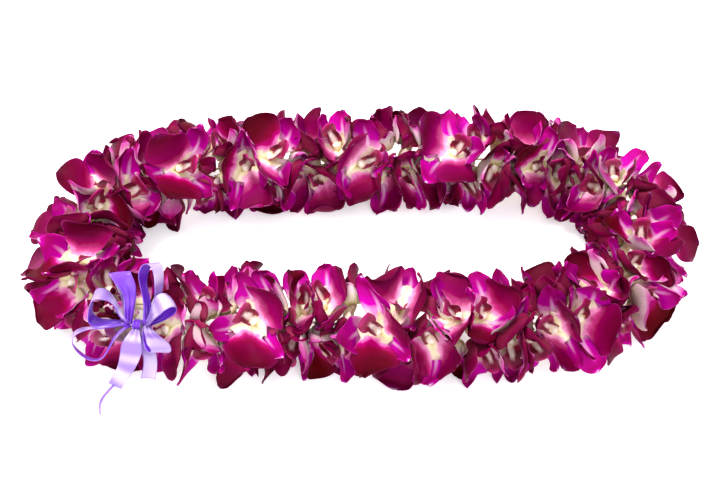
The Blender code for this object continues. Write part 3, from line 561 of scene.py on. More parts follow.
class Nodes:
    """Short words for building a node tree."""

    def __init__(self, tree):
        self.tree = tree

    def add(self, kind, **settings):
        node = self.tree.nodes.new(kind)
        for key, value in settings.items():
            setattr(node, key, value)
        return node

    def wire(self, value, socket):
        """Links an output to the socket, or sets a plain value."""
        if isinstance(value, bpy.types.NodeSocket):
            self.tree.links.new(value, socket)
        elif value is not None:
            socket.default_value = value

    def feed(self, node, inputs):
        """Gives a node its inputs, by their names or numbers."""
        for label, value in inputs.items():
            self.wire(value, node.inputs[label])
        return node

    def after(self, source, kind, inputs=None, **settings):
        """What a new node makes of the source and of its other inputs."""
        return self.feed(self.add(kind, **settings), {0: source, **(inputs or {})}).outputs[0]

    def math(self, operation, a, b=None, clamp=False):
        return self.after(a, "ShaderNodeMath", {1: b}, operation=operation, use_clamp=clamp)

    def times(self, a, b, clamp=False):
        return self.math("MULTIPLY", a, b, clamp)

    def plus(self, a, b, clamp=False):
        return self.math("ADD", a, b, clamp)

    def minus(self, a, b):
        return self.math("SUBTRACT", a, b)

    def swing(self, value, amount):
        """A share of 0 to 1 as a swing about nought."""
        return self.times(self.minus(value, 0.5), amount)

    def side(self, across):
        """How far a place lies from the middle line of its blade: 0 to 1."""
        return self.math("ABSOLUTE", self.minus(self.times(across, 2.0), 1.0))

    def mix(self, factor, a, b):
        """Between two colours. Three plain numbers are a display colour."""
        colours = (linear(*c) if isinstance(c, tuple) and len(c) == 3 else c for c in (a, b))
        node = self.add("ShaderNodeMix", data_type="RGBA")
        return self.feed(node, dict(zip((0, 6, 7), (factor, *colours)))).outputs[2]

    def span(self, value, low, high, to_low=0.0, to_high=1.0, smooth=True):
        return self.after(value, "ShaderNodeMapRange", {1: low, 2: high, 3: to_low, 4: to_high},
                          interpolation_type="SMOOTHSTEP" if smooth else "LINEAR")

    def ramp(self, value, *stops):
        """A run of display colours, each after its position."""
        node = self.add("ShaderNodeValToRGB")
        node.color_ramp.interpolation = "EASE"
        elements = node.color_ramp.elements
        while len(elements) < len(stops):
            elements.new(0.5)
        for element, (position, *colour) in zip(elements, stops):
            element.position = position
            element.color = linear(*colour)
        self.wire(value, node.inputs[0])
        return node.outputs[0]

    def noise(self, vector, scale, detail=2.0, roughness=0.5):
        return self.after(vector, "ShaderNodeTexNoise",
                          {"Scale": scale, "Detail": detail, "Roughness": roughness})

    def over(self, *pairs):
        """A vector of values, each drawn out by its own factor."""
        drawn = {k: self.times(value, factor) for k, (value, factor) in enumerate(pairs)}
        return self.feed(self.add("ShaderNodeCombineXYZ"), drawn).outputs[0]

    def attribute(self, name):
        return self.add("ShaderNodeAttribute", attribute_name=name).outputs["Fac"]

    def within(self):
        """The place within an object."""
        return self.add("ShaderNodeTexCoord").outputs["Object"]

    def blade(self):
        """The place along a blade and across it."""
        uv = self.add("ShaderNodeUVMap", uv_map="Blade").outputs[0]
        return self.feed(self.add("ShaderNodeSeparateXYZ"), {0: uv}).outputs[:2]

    def group(self, tree, **given):
        return self.feed(self.add("ShaderNodeGroup", node_tree=tree), given).outputs

    def shade(self, settings, height=None, strength=1.0, distance=1.0):
        """Gives the shader its inputs, and a bump by a height."""
        shader = self.feed(self.tree.nodes["Principled BSDF"], settings)
        if height is not None:
            bump = self.feed(self.add("ShaderNodeBump"),
                             {"Strength": strength, "Distance": distance, "Height": height})
            self.wire(bump.outputs[0], shader.inputs["Normal"])


def group_tree(name, inputs, outputs):
    """A new node group with its sockets by name; the one called Color is a colour."""
    tree = bpy.data.node_groups.new(name, "ShaderNodeTree")
    for way, labels in (("INPUT", inputs), ("OUTPUT", outputs)):
        for label in labels:
            kind = "NodeSocketColor" if label == "Color" else "NodeSocketFloat"
            tree.interface.new_socket(label, in_out=way, socket_type=kind)
    n = Nodes(tree)
    return n, n.add("NodeGroupInput").outputs, n.add("NodeGroupOutput").inputs


def principled(name):
    """A new material and its nodes."""
    material = bpy.data.materials.new(name)
    material.use_nodes = True
    return material, Nodes(material.node_tree)


# ----------------------------------------------------------------- materials

def veins_group():
    """Fine lengthwise veins that fan out over a blade."""
    n, given, made = group_tree("petal_veins", ("Along", "Across", "Seed"), ("Veins", "Mottle"))
    along, across, seed = given["Along"], given["Across"], given["Seed"]
    drift = n.noise(n.over((along, 3.0), (across, 2.0), (seed, 31.0)), 1.6)
    lane = n.plus(n.times(across, 9.0), n.times(drift, 1.4))
    fine = n.noise(n.over((along, 1.6), (lane, 1.8), (seed, 17.0)), 2.4, 3.0, 0.6)
    ridge = n.math("POWER", n.math("ABSOLUTE", n.math("SINE", n.times(lane, 6.2832))), 3.0)
    n.wire(n.plus(n.times(ridge, 0.45), n.times(fine, 0.55)), made["Veins"])
    n.wire(n.noise(n.over((along, 2.2), (across, 1.5), (seed, 53.0)), 1.9), made["Mottle"])
    return n.tree


def velvet_group():
    """The colour of a tepal: its cream base, its crimson field, its rim and its paler back."""
    n, given, made = group_tree(
        "petal_colour", ("Along", "Across", "Back", "Sepal", "Tint", "Pale", "Veins", "Mottle"),
        ("Color", "Roughness"))
    along, tint, veins, sepal = (given[label] for label in ("Along", "Tint", "Veins", "Sepal"))
    side = n.side(given["Across"])
    bowed = n.minus(along, n.times(n.math("POWER", side, 2.0), 0.10))
    place = n.plus(n.plus(bowed, n.swing(given["Mottle"], 0.22)), n.swing(tint, 0.10))
    crimson = n.ramp(
        place, (0.00, 240, 234, 190), (0.10, 252, 242, 214), (0.18, 232, 130, 196),
        (0.25, 182, 0, 112), (0.36, 146, 0, 44), (0.58, 116, 0, 14), (0.92, 84, 0, 10),
        (1.00, 56, 0, 8))
    magenta = n.ramp(
        place, (0.00, 244, 240, 204), (0.18, 255, 250, 238), (0.32, 244, 170, 224),
        (0.46, 214, 12, 184), (0.64, 190, 1, 146), (0.84, 164, 1, 108), (0.94, 204, 40, 170),
        (1.00, 252, 222, 244))
    front = n.mix(n.plus(n.times(tint, 0.34), n.times(sepal, 0.66), clamp=True), crimson, magenta)
    edge = n.times(n.span(side, 0.62, 1.0), n.span(along, 0.96, 0.70, 0.25, 0.62))
    front = n.mix(n.times(edge, 0.36), front, (178, 0, 128))
    middle = n.times(n.span(side, 0.22, 0.0), n.span(along, 0.82, 0.30, 0.0, 0.85))
    front = n.mix(n.times(middle, sepal), front, (252, 214, 238))
    vein = n.minus(veins, 0.45)
    front = n.mix(n.times(vein, 0.26, clamp=True), front, (84, 0, 30))
    front = n.mix(n.times(vein, -0.30, clamp=True), front, (176, 0, 84))
    pale_back = n.ramp(
        place, (0.00, 232, 232, 160), (0.30, 255, 246, 212), (0.60, 254, 226, 232),
        (0.84, 232, 130, 196), (1.00, 180, 10, 110))
    deep_back = n.ramp(
        place, (0.00, 232, 226, 176), (0.16, 244, 214, 204), (0.30, 190, 30, 120),
        (0.50, 142, 0, 66), (1.00, 88, 0, 30))
    back = n.mix(given["Pale"], deep_back, pale_back)
    back = n.mix(n.times(veins, 0.22, clamp=True), back, (164, 0, 90))
    colour = n.mix(n.span(given["Back"], 0.35, 0.65), front, back)
    rim = n.times(n.span(side, 0.955, 0.995), n.span(along, 0.10, 0.4, 0.1, 0.55))
    colour = n.mix(rim, colour, (226, 120, 186))
    own = n.span(tint, 0.0, 1.0, 0.80, 1.14, smooth=False)
    depth = n.span(sepal, 0.0, 1.0, 0.58, 0.74, smooth=False)
    value = n.times(n.span(place, 0.16, 0.44, 1.0, depth), own)
    deep = n.feed(n.add("ShaderNodeHueSaturation"),
                  {"Saturation": 1.12, "Value": value, "Color": colour})
    n.wire(deep.outputs[0], made["Color"])
    n.wire(n.span(given["Mottle"], 0.2, 0.8, 0.40, 0.56), made["Roughness"])
    return n.tree


def petal_material(veins, velvet):
    """A sepal or a petal: soft and hardly shiny, with raised veins."""
    material, n = principled("orchid_petal")
    along, across = n.blade()
    tint = n.attribute("tint")
    lines = n.group(veins, Along=along, Across=across, Seed=tint)
    look = n.group(velvet, Along=along, Across=across, Back=n.attribute("back"),
                   Sepal=n.attribute("sepal"), Tint=tint, Pale=n.attribute("pale"),
                   Veins=lines["Veins"], Mottle=lines["Mottle"])
    n.shade({"Base Color": look["Color"], "Roughness": look["Roughness"],
             "Specular IOR Level": 0.06, "Subsurface Weight": 0.04,
             "Subsurface Radius": (0.0030, 0.0008, 0.0016), "Subsurface Scale": 1.0},
            lines["Veins"], 0.35, 0.00025)
    return material


def lip_material(veins):
    """The lip: a cream base, dark crimson lobes with a pale disc, and a rosy rim."""
    material, n = principled("orchid_lip")
    along, across = n.blade()
    lines = n.group(veins, Along=along, Across=across, Seed=n.attribute("tint"))
    side = n.side(across)
    lobe = n.ramp(
        n.plus(along, n.swing(lines["Mottle"], 0.2)), (0.00, 214, 206, 140),
        (0.14, 238, 226, 180), (0.24, 150, 14, 66), (0.45, 98, 2, 28), (0.80, 128, 4, 60),
        (1.00, 176, 18, 110))
    disc = n.times(n.span(side, 0.42, 0.10), n.span(along, 0.74, 0.52))
    disc = n.times(disc, n.span(lines["Veins"], 0.75, 0.35, 0.45, 1.0))
    colour = n.mix(disc, lobe, (248, 232, 222))
    colour = n.mix(n.times(n.span(lines["Veins"], 0.55, 0.95), 0.35), colour, (120, 4, 60))
    colour = n.mix(n.times(n.span(side, 0.93, 1.0), 0.5), colour, (222, 110, 178))
    under = n.ramp(along, (0.0, 220, 216, 160), (0.30, 168, 40, 100), (1.0, 110, 3, 46))
    colour = n.mix(n.span(n.attribute("back"), 0.35, 0.65), colour, under)
    n.shade({"Base Color": colour, "Roughness": 0.42, "Specular IOR Level": 0.40,
             "Sheen Weight": 0.15, "Sheen Tint": linear(236, 130, 200)},
            lines["Veins"], 0.5, 0.0003)
    return material


def column_material():
    """Waxy cream with a yellow-green foot, a purple flush and painted shade in the hollow under the
    cap.
    """
    material, n = principled("orchid_column")
    along, across = n.blade()
    freckle = n.noise(n.over((along, 5.0), (across, 7.0), (n.attribute("tint"), 40.0)), 2.2, 3.0)
    body = n.ramp(
        n.plus(along, n.swing(freckle, 0.25)), (0.00, 196, 190, 108), (0.30, 222, 214, 146),
        (0.60, 240, 232, 186), (0.86, 250, 246, 218), (1.00, 244, 226, 214))
    aside = n.math("ABSOLUTE", n.minus(across, 0.5))
    # Painted shade: a dark strip where the hollow under the cap would lie in shadow.
    hollow_shade = n.times(n.minus(1.0, n.span(aside, 0.05, 0.12)), n.span(along, 0.60, 0.68))
    hollow_shade = n.times(hollow_shade, n.span(along, 0.90, 0.82))
    colour = n.mix(n.times(hollow_shade, 0.9), body, (70, 52, 24))
    flush = n.times(n.span(freckle, 0.55, 0.75), n.span(along, 0.35, 0.75, 0.0, 0.35))
    colour = n.mix(flush, colour, (206, 120, 150))
    n.shade({"Base Color": colour, "Roughness": n.span(freckle, 0.2, 0.8, 0.34, 0.5),
             "Subsurface Weight": 0.12, "Subsurface Radius": (0.0025, 0.0018, 0.0008),
             "Subsurface Scale": 1.0}, freckle, 0.3, 0.0003)
    return material


def stem_material():
    """The pierced base, the neck and the spur: cream running to green, with rosy streaks."""
    material, n = principled("orchid_stem")
    along, across = n.blade()
    streak = n.noise(n.over((along, 1.5), (across, 26.0), (n.attribute("tint"), 23.0)), 1.8, 3.0)
    colour = n.ramp(
        n.plus(along, n.swing(streak, 0.3)), (0.00, 196, 196, 112), (0.30, 232, 226, 168),
        (0.75, 246, 238, 206), (1.00, 236, 196, 190))
    colour = n.mix(n.times(n.span(streak, 0.40, 0.62), 0.75), colour, (168, 52, 104))
    n.shade({"Base Color": colour, "Roughness": n.span(streak, 0.2, 0.8, 0.42, 0.60)},
            streak, 0.4, 0.0003)
    return material


def thread_material():
    """Undyed cotton with fine fibres."""
    material, n = principled("cotton_thread")
    fibre = n.noise(n.within(), 2600.0, 3.0, 0.65)
    n.shade({"Base Color": n.mix(fibre, (214, 208, 190), (246, 243, 232)),
             "Roughness": n.span(fibre, 0.2, 0.8, 0.72, 0.9), "Sheen Weight": 0.3},
            fibre, 0.6, 0.0001)
    return material


def satin_material():
    """Satin ribbon: a pale lilac face that also carries painted light, a deep violet reverse that
    also carries painted shade, painted sheen bands, a fine weave and a firm selvedge.
    """
    material, n = principled("violet_satin")
    along, across = n.blade()
    warp = n.noise(n.over((along, 14.0), (across, 95.0)), 3.0)
    slub = n.noise(n.over((along, 60.0), (across, 9.0)), 2.0)
    # Painted highlight: soft bands of sheen that run across the ribbon, strong on the pale face and
    # faint on the violet one.
    painted_sheen = n.span(n.noise(n.over((along, 5.0), (across, 0.12)), 2.2, 0.0), 0.36, 0.70)
    # The pale face: the ribbon's lighter side, also painted as the side that catches the light.
    pale = n.mix(warp, (126, 92, 170), (156, 126, 188))
    pale = n.mix(n.times(painted_sheen, 0.75), pale, (206, 190, 212))
    # The violet reverse: the ribbon's deeper side, also painted as the side in shade.
    deep = n.mix(warp, (86, 22, 162), (124, 52, 196))
    deep = n.mix(n.times(painted_sheen, 0.35), deep, (150, 100, 216))
    # The face mark picks the pale face, painted as lit, or the violet face, painted as shaded.
    colour = n.mix(n.span(n.attribute("face"), 0.35, 0.65), deep, pale)
    selvedge = n.times(n.span(n.side(across), 0.90, 0.95), 0.25)
    n.shade({"Base Color": n.mix(selvedge, colour, (150, 104, 208)),
             "Roughness": n.span(warp, 0.2, 0.8, 0.24, 0.36), "Specular IOR Level": 0.65,
             "Sheen Weight": 0.2, "Sheen Roughness": 0.3, "Sheen Tint": linear(226, 204, 250)},
            n.plus(n.times(warp, 0.6), n.times(slub, 0.4)), 0.25, 0.0001)
    return material


# ------------------------------------------------------------- blade surfaces

PETAL_SKIN, LIP_SKIN, COLUMN_SKIN, STEM_SKIN = range(4)     # the materials of a bloom


def finished_mesh(name, points, faces, uvs, marks, materials, slots):
    """A smooth mesh with its blade coordinates, its marks and its materials."""
    mesh = bpy.data.meshes.new(name)
    mesh.from_pydata(points.tolist(), [], faces)
    for material in materials:
        mesh.materials.append(material)
    mesh.polygons.foreach_set("material_index", np.array(slots, np.int32))
    mesh.polygons.foreach_set("use_smooth", np.ones(len(faces), bool))
    corners = np.empty(len(mesh.loops), np.int32)
    mesh.loops.foreach_get("vertex_index", corners)
    layer = mesh.uv_layers.new(name="Blade")
    layer.uv.foreach_set("vector", uvs[corners].astype(np.float32).ravel())
    for mark, values in marks.items():
        attribute = mesh.attributes.new(mark, "FLOAT", "POINT")
        attribute.data.foreach_set("value", values.astype(np.float32))
    mesh.update()
    return mesh


def linked(name, data):
    """A new object in the scene."""
    obj = bpy.data.objects.new(name, data)
    bpy.context.scene.collection.objects.link(obj)
    return obj


class Skin:
    """Points, faces and marks that are gathered into the blooms of one place."""

    def __init__(self):
        self.points = []
        self.faces = []
        self.slots = []
        self.uvs = []
        self.marks = {"back": [], "sepal": [], "tint": [], "pale": []}
        self.count = 0

    def add(self, body, slot, tint, back=0.0, sepal=0.0, pale=0.0):
        """Takes in a body: its points, its faces and its places along and across."""
        points, faces, uv = body
        self.points.append(points)
        self.uvs.append(uv)
        for mark, value in zip(self.marks.values(), (back, sepal, tint, pale)):
            mark.append(np.broadcast_to(np.asarray(value, float), (len(points),)))
        self.faces += [tuple(self.count + i for i in face) for face in faces]
        self.slots += [slot] * len(faces)
        self.count += len(points)

    def mesh(self, name, materials):
        marks = {mark: np.concatenate(values) for mark, values in self.marks.items()}
        return finished_mesh(name, np.vstack(self.points), self.faces, np.vstack(self.uvs), marks,
                             materials, self.slots)


def surface_normal(grid):
    """The way a grid of points faces, at each of them."""
    return unit(np.cross(np.gradient(grid, axis=1), np.gradient(grid, axis=0)))


def shell(grid, u, v):
    """A thin closed shell about a grid of points: its body, and the mark of its back.

    The last row is one point, and the rim is shared by both faces.
    """
    rows, columns = grid.shape[:2]
    normal = surface_normal(grid)
    normal[-1] = unit(np.mean(normal[-3], axis=0))
    for _ in range(2):
        smooth = normal.copy()
        smooth[1:-1] += normal[:-2] + normal[2:]
        smooth[:, 1:-1] += normal[:, :-2] + normal[:, 2:]
        normal = unit(smooth)
    taper = np.clip((1.0 - np.abs(v)) / RIM_TAPER, 0.0, 1.0)
    taper = taper * np.clip((1.0 - u) / TIP_TAPER, 0.0, 1.0)
    offset = normal * (0.5 * BLADE_THICK * taper ** 0.6)[..., None]
    points = []
    uv = []
    back = []
    index = np.zeros((2, rows, columns), int)
    for face in (0, 1):
        for i in range(rows):
            for j in range(columns):
                rim = j in (0, columns - 1) or i == rows - 1
                if i == rows - 1 and j > 0:
                    index[face, i, j] = index[0, i, 0]
                elif face == 1 and rim:
                    index[1, i, j] = index[0, i, j]
                else:
                    index[face, i, j] = len(points)
                    points.append(grid[i, j] + offset[i, j] * (1.0 - 2.0 * face))
                    uv.append((u[i, j], 0.5 + 0.5 * v[i, j]))
                    back.append(0.5 if rim else float(face))
    front, rear = index
    faces = []
    for i in range(rows - 1):
        for j in range(columns - 1):
            a, b, c, d = front[i, j], front[i, j + 1], front[i + 1, j + 1], front[i + 1, j]
            e, f, g, h = rear[i, j], rear[i, j + 1], rear[i + 1, j + 1], rear[i + 1, j]
            faces += [(a, b, c), (e, g, f)] if i == rows - 2 else [(a, b, c, d), (e, h, g, f)]
    for j in range(columns - 1):
        closing = tuple(dict.fromkeys((front[0, j], rear[0, j], rear[0, j + 1], front[0, j + 1])))
        if len(closing) > 2:
            faces.append(closing)
    return (np.array(points), faces, np.array(uv)), np.array(back)


def blade_grid(kind):
    """Steps along a blade, closer at its tip, and across it."""
    u = 1.0 - (1.0 - np.linspace(0.0, 1.0, BLADE_ROWS[kind])) ** 1.35
    v = np.linspace(-1.0, 1.0, BLADE_COLUMNS[kind])
    return np.meshgrid(u, 0.6 * np.sin(0.5 * v * math.pi) + 0.4 * v, indexing="ij")


def crinkled(grid, u, v, rng):
    """A blade with soft dents over its middle and waves along its rim."""
    normal = surface_normal(grid)
    normal[-1] = normal[-2]
    phase = rng.uniform(0.0, 2 * math.pi, 4)
    dents = 0.5 * np.sin(7.0 * u + 2.2 * v + phase[0]) + 0.5 * np.sin(5.0 * v - 4.0 * u + phase[1])
    rim = np.sin(15.0 * u + phase[2]) * np.abs(v) ** 3 * np.where(v > 0, 1.0, np.sin(phase[3]))
    gate = np.clip(u / 0.3, 0.0, 1.0)
    out = grid + normal * ((DENT * dents + RIM_WAVE * rim) * gate)[..., None]
    out[-1] = out[-1, 0]
    out[..., 2] = np.maximum(out[..., 2], ABOVE_TABLE)
    return out


def ring_faces(rings, sides, closed=False):
    """Quads between each ring of points and the next."""
    faces = []
    for k in range(rings if closed else rings - 1):
        this, following = k * sides, (k + 1) % rings * sides
        for j in range(sides):
            m = (j + 1) % sides
            faces.append((this + j, this + m, following + m, following + j))
    return faces


def tube(rings, radii, axes, starts, sides, squash=1.0):
    """A closed round body along a run of centres."""
    points = []
    uv = []
    count = len(rings)
    for k in range(count):
        other = np.cross(axes[k], starts[k])
        for j in range(sides):
            angle = 2 * math.pi * j / sides
            spoke = starts[k] * math.cos(angle) * squash + other * math.sin(angle)
            points.append(rings[k] + radii[k] * spoke)
            uv.append((k / (count - 1), 1.0 - abs(2.0 * j / sides - 1.0)))
    faces = ring_faces(count, sides)
    low = len(points)
    top = (count - 1) * sides
    points += [rings[0], rings[-1]]
    uv += [(0.0, 0.5), (1.0, 0.5)]
    for j in range(sides):
        faces += [(low, (j + 1) % sides, j), (low + 1, top + j, top + (j + 1) % sides)]
    return np.array(points), faces, np.array(uv)


def column_body(site, dorsal):
    """The column: an arched finger with a rounded cap, bending over the lip."""
    rings = []
    axes = []
    at = site["head"] - site["facing"] * COLUMN_SINK
    steps = np.linspace(0.0, 1.0, COLUMN_RINGS)
    for t in steps:
        way = unit(site["facing"] + dorsal * (0.42 - 0.95 * t))
        rings.append(drifted(at))
        axes.append(way)
        at = at + way * COLUMN_LONG * site["size"] / (COLUMN_RINGS - 1)
    radii = np.interp(steps, (0.0, 0.15, 0.55, 0.72, 0.86, 0.95, 1.0),
                      (1.05, 0.92, 0.80, 0.98, 1.02, 0.74, 0.30)) * COLUMN_WIDE
    return tube(rings, radii, axes, [square_to(-dorsal, axis) for axis in axes], 14, 0.86)


def spur_body(site, dorsal):
    """The blunt spur behind the lip, where the two low sepals meet."""
    facing = site["facing"]
    way = unit(-0.55 * facing - 0.85 * dorsal)
    steps = np.linspace(0.0, 1.0, SPUR_RINGS)
    rings = [drifted(site["head"] + way * SPUR_LONG * t - facing * SPUR_BEND * t * t)
             for t in steps]
    radii = np.interp(steps, (0.0, 0.35, 0.75, 0.92, 1.0),
                      (0.0036, 0.0038, 0.0028, 0.0019, 0.0008))
    points, faces, uv = tube(rings, radii, [way] * SPUR_RINGS,
                             [square_to(facing, way)] * SPUR_RINGS, 12, 0.85)
    points[:, 2] = np.maximum(points[:, 2], SPUR_LOW)
    uv[:, 0] = 1.0 - 0.6 * uv[:, 0]
    return points, faces, uv


def neck_body(middle, head, axis):
    """The neck of a bloom, from its pierced base to its head."""
    way = unit(head - middle)
    far = np.linalg.norm(head - middle)
    steps = np.linspace(0.0, 1.0, NECK_RINGS)
    rings = [middle + way * (NECK_START + (far - NECK_SHORT) * t) for t in steps]
    radii = np.interp(steps, (0.0, 0.25, 0.6, 0.85, 1.0),
                      (0.0030, 0.0026, 0.0028, 0.0034, 0.0036))
    points, faces, uv = tube(rings, radii, [way] * NECK_RINGS,
                             [axis - way * (axis @ way)] * NECK_RINGS, 12)
    uv[:, 0] = 0.3 + 0.7 * uv[:, 0]
    return points, faces, uv


def bead_body(a, b, way, tint):
    """The pierced base of two blooms, round the thread, with soft lumps."""
    side = np.cross(unit(b - a), way)
    points = []
    uv = []
    for t, r in BEAD_PROFILE:
        swell = BEAD_LUMPS * min(1.0, (r - BORE_RADIUS) / 0.003)
        for j in range(BEAD_SIDES):
            angle = 2 * math.pi * j / BEAD_SIDES
            lump = 1.0 + swell * math.sin(3 * angle + 20.0 * tint)
            spoke = way * math.cos(angle) + side * math.sin(angle)
            points.append(a + (b - a) * t + r * lump * spoke)
            uv.append((0.35 + 0.45 * abs(2.0 * t - 1.0), j / BEAD_SIDES))
    return np.array(points), ring_faces(len(BEAD_PROFILE), BEAD_SIDES, True), np.array(uv)


def grow_bloom(site, skin):
    """The tepals, the lip, the column and the spur of one bloom; gives its own tint."""
    rng = np.random.default_rng(site["seed"] + 991)
    flower = rng.uniform(0.0, 1.0)
    tepals = [Tepal(site, k) for k in range(len(TEPALS))]
    for tepal in tepals:
        u, v = blade_grid(tepal.kind)
        if tepal.kind == LIP:
            grid = tepal.lip(u, v)
        else:
            grid = crinkled(tepal.blade(u, v), u, v, rng)
        body, back = shell(grid, u, v)
        own = rng.uniform(-TINT_SPREAD, TINT_SPREAD)
        tint = float(np.clip(TINT_MIDDLE + TINT_SHARED * flower + own, 0.0, 1.0))
        sepal = tepal.kind == SEPAL
        drawn, least, added = PALE_SEPAL if sepal else PALE_PETAL
        pale = least + added * (rng.uniform(0.0, 1.0) > drawn)
        skin.add(body, LIP_SKIN if tepal.kind == LIP else PETAL_SKIN, tint, back, sepal, pale)
    skin.add(column_body(site, tepals[0].dorsal), COLUMN_SKIN, flower)
    skin.add(spur_body(site, tepals[0].dorsal), STEM_SKIN, flower)
    return flower


def grow_place(index, stations, materials):
    """The two blooms of a place and their base."""
    a, b = stations[2 * index:2 * index + 2]
    axis = unit(b - a)
    a = a + axis * BEAD_TRIM
    b = b - axis * BEAD_TRIM
    middle = (a + b) / 2
    skin = Skin()
    blooms = STRUNG[index]["blooms"]
    for site in blooms:
        flower = grow_bloom(site, skin)
        skin.add(neck_body(middle, drifted(site["head"]), axis), STEM_SKIN, flower)
    way = square_to(drifted(blooms[0]["head"]) - middle, axis)
    skin.add(bead_body(a, b, way, flower), STEM_SKIN, flower)
    return skin.mesh("bloom_%02d" % index, materials)


# -------------------------------------------------------------------- thread

def thread_stations():
    """The corners of the thread: two at each place, the bow's among them."""
    reach = BEAD_HALF / ROUTE_LENGTH
    return [drifted(on_route(place["share"] + side * reach)[0])
            for place in STRUNG for side in (-1.0, 1.0)]


def frame_shift(stations):
    """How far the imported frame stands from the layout, found from the thread."""
    count = len(stations)
    ways = [unit(stations[(k + 1) % count] - stations[k]) for k in range(count)]
    starts = [square_to(np.array([0.0, 0.0, 1.0]), way) for way in ways]
    points = []
    for k in range(count):
        axis = unit(ways[k - 1] + ways[k])
        start = square_to(unit(starts[k - 1] + starts[k]), axis)
        other = np.cross(axis, start)
        for j in range(THREAD_SIDES):
            angle = 2 * math.pi * j / THREAD_SIDES
            spoke = start * math.cos(angle) + other * math.sin(angle)
            points.append(stations[k] + THREAD_RADIUS * spoke)
    low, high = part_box("thread")
    return np.array(low) - np.min(points, axis=0)


def thread_tree(material):
    """Geometry nodes for a twisted thread: plies that wind round a closed path."""
    tree = bpy.data.node_groups.new("twisted_thread", "GeometryNodeTree")
    for way in ("INPUT", "OUTPUT"):
        tree.interface.new_socket("Geometry", in_out=way, socket_type="NodeSocketGeometry")
    n = Nodes(tree)
    curve = n.after(n.add("NodeGroupInput").outputs[0], "GeometryNodeMeshToCurve")
    even = n.after(curve, "GeometryNodeResampleCurve", {"Count": THREAD_STEPS}, mode="COUNT")
    steady = n.after(even, "GeometryNodeSetCurveNormal", mode="Z_UP")
    factor = n.add("GeometryNodeSplineParameter").outputs["Factor"]
    normal = n.add("GeometryNodeInputNormal").outputs[0]
    tangent = n.add("GeometryNodeInputTangent").outputs[0]
    side = n.after(tangent, "ShaderNodeVectorMath", {1: normal}, operation="CROSS_PRODUCT")
    ring = n.feed(n.add("GeometryNodeCurvePrimitiveCircle"),
                  {"Resolution": PLY_SIDES, "Radius": PLY_RADIUS})
    join = n.add("GeometryNodeJoinGeometry")
    for ply in range(PLIES):
        turn = n.times(n.times(factor, THREAD_TURNS), 2 * math.pi)
        turn = n.plus(turn, 2 * math.pi * ply / PLIES)
        out, over = (
            n.after(way, "ShaderNodeVectorMath",
                    {"Scale": n.times(n.math(wave, turn), LAY_RADIUS)}, operation="SCALE")
            for way, wave in ((normal, "COSINE"), (side, "SINE")))
        offset = n.after(out, "ShaderNodeVectorMath", {1: over}, operation="ADD")
        moved = n.after(steady, "GeometryNodeSetPosition", {"Offset": offset})
        solid = n.after(moved, "GeometryNodeCurveToMesh", {1: ring.outputs[0]})
        n.wire(solid, join.inputs[0])
    real = n.after(n.after(join.outputs[0], "GeometryNodeSetShadeSmooth"),
                   "GeometryNodeRealizeInstances")
    cover = n.after(real, "GeometryNodeSetMaterial", {"Material": material})
    n.wire(cover, n.add("NodeGroupOutput").inputs[0])
    return tree


def twist_thread(stations, shift, material):
    """The thread as a plain mesh, twisted by its node tree along the stations."""
    count = len(stations)
    run = bpy.data.meshes.new("thread_run")
    run.from_pydata((np.array(stations) + shift).tolist(),
                    [(k, (k + 1) % count) for k in range(count)], [])
    source = linked("thread_source", run)
    source.modifiers.new("tree", "NODES").node_group = thread_tree(material)
    bpy.context.view_layer.update()
    graph = bpy.context.evaluated_depsgraph_get()
    made = bpy.data.meshes.new_from_object(source.evaluated_get(graph))
    made.name = "thread_twist"
    bpy.data.objects.remove(source)
    return made


# -------------------------------------------------------------------- ribbon

def bow_axes():
    """Right, up and out as one sees the bow, one to a row."""
    out = BOW_SITE["facing"]
    right = square_to(np.array([1.0, 0.0, 0.0]), out)
    return np.array([right, np.cross(out, right), out])


BOW_AXES = bow_axes()


def curve_through(controls, count):
    """A smooth run of points through the controls."""
    pts = np.array(controls, float)
    pts = np.vstack([2 * pts[0] - pts[1], pts, 2 * pts[-1] - pts[-2]])
    spans = len(pts) - 3
    out = []
    for f in np.linspace(0.0, spans, count):
        k = min(int(f), spans - 1)
        out.append(spline(*pts[k:k + 4], f - k))
    return np.array(out)


def loop_path(side, tip, opening, t):
    """A loop of ribbon out to its tip and back, its way across and its width shares."""
    root = np.array([LOOP_ROOT * side, 0.0, 0.0])
    tip = np.array(tip)
    opening = np.array(opening)
    reach = np.sin(math.pi * t) ** 0.92
    spread = 0.62 * np.sin(2 * math.pi * t) * np.sin(math.pi * t) ** 0.5
    local = root + np.outer(reach, tip - root) + np.outer(spread, opening)
    local = local + np.outer(LOOP_PARTED * np.cos(math.pi * t), unit(opening))
    width = 0.24 + 0.76 * np.clip(np.minimum(t, 1 - t) / 0.26, 0.0, 1.0)
    return local, unit(np.cross(tip - root, opening)), width


def ribbon_grid(local, across, halves, pleats, crease):
    """Points over a ribbon of the bow, gathered into pleats where its share is high."""
    path = BOW_KNOT + local @ BOW_AXES
    across = np.asarray(across) @ BOW_AXES
    ways = unit(np.gradient(path, axis=0))
    wide = unit(across - ways * np.sum(across * ways, axis=1, keepdims=True))
    flat = np.cross(ways, wide)
    v = np.linspace(-1.0, 1.0, RIBBON_COLUMNS)
    lift = np.outer(pleats, np.sin(v * 7.5 + 0.6)) * PLEAT
    belly = np.outer(crease, 1.0 - v * v)
    return drifted(path[:, None, :] + wide[:, None, :] * (halves[:, None] * v)[..., None]
                   + flat[:, None, :] * (lift + belly)[..., None])


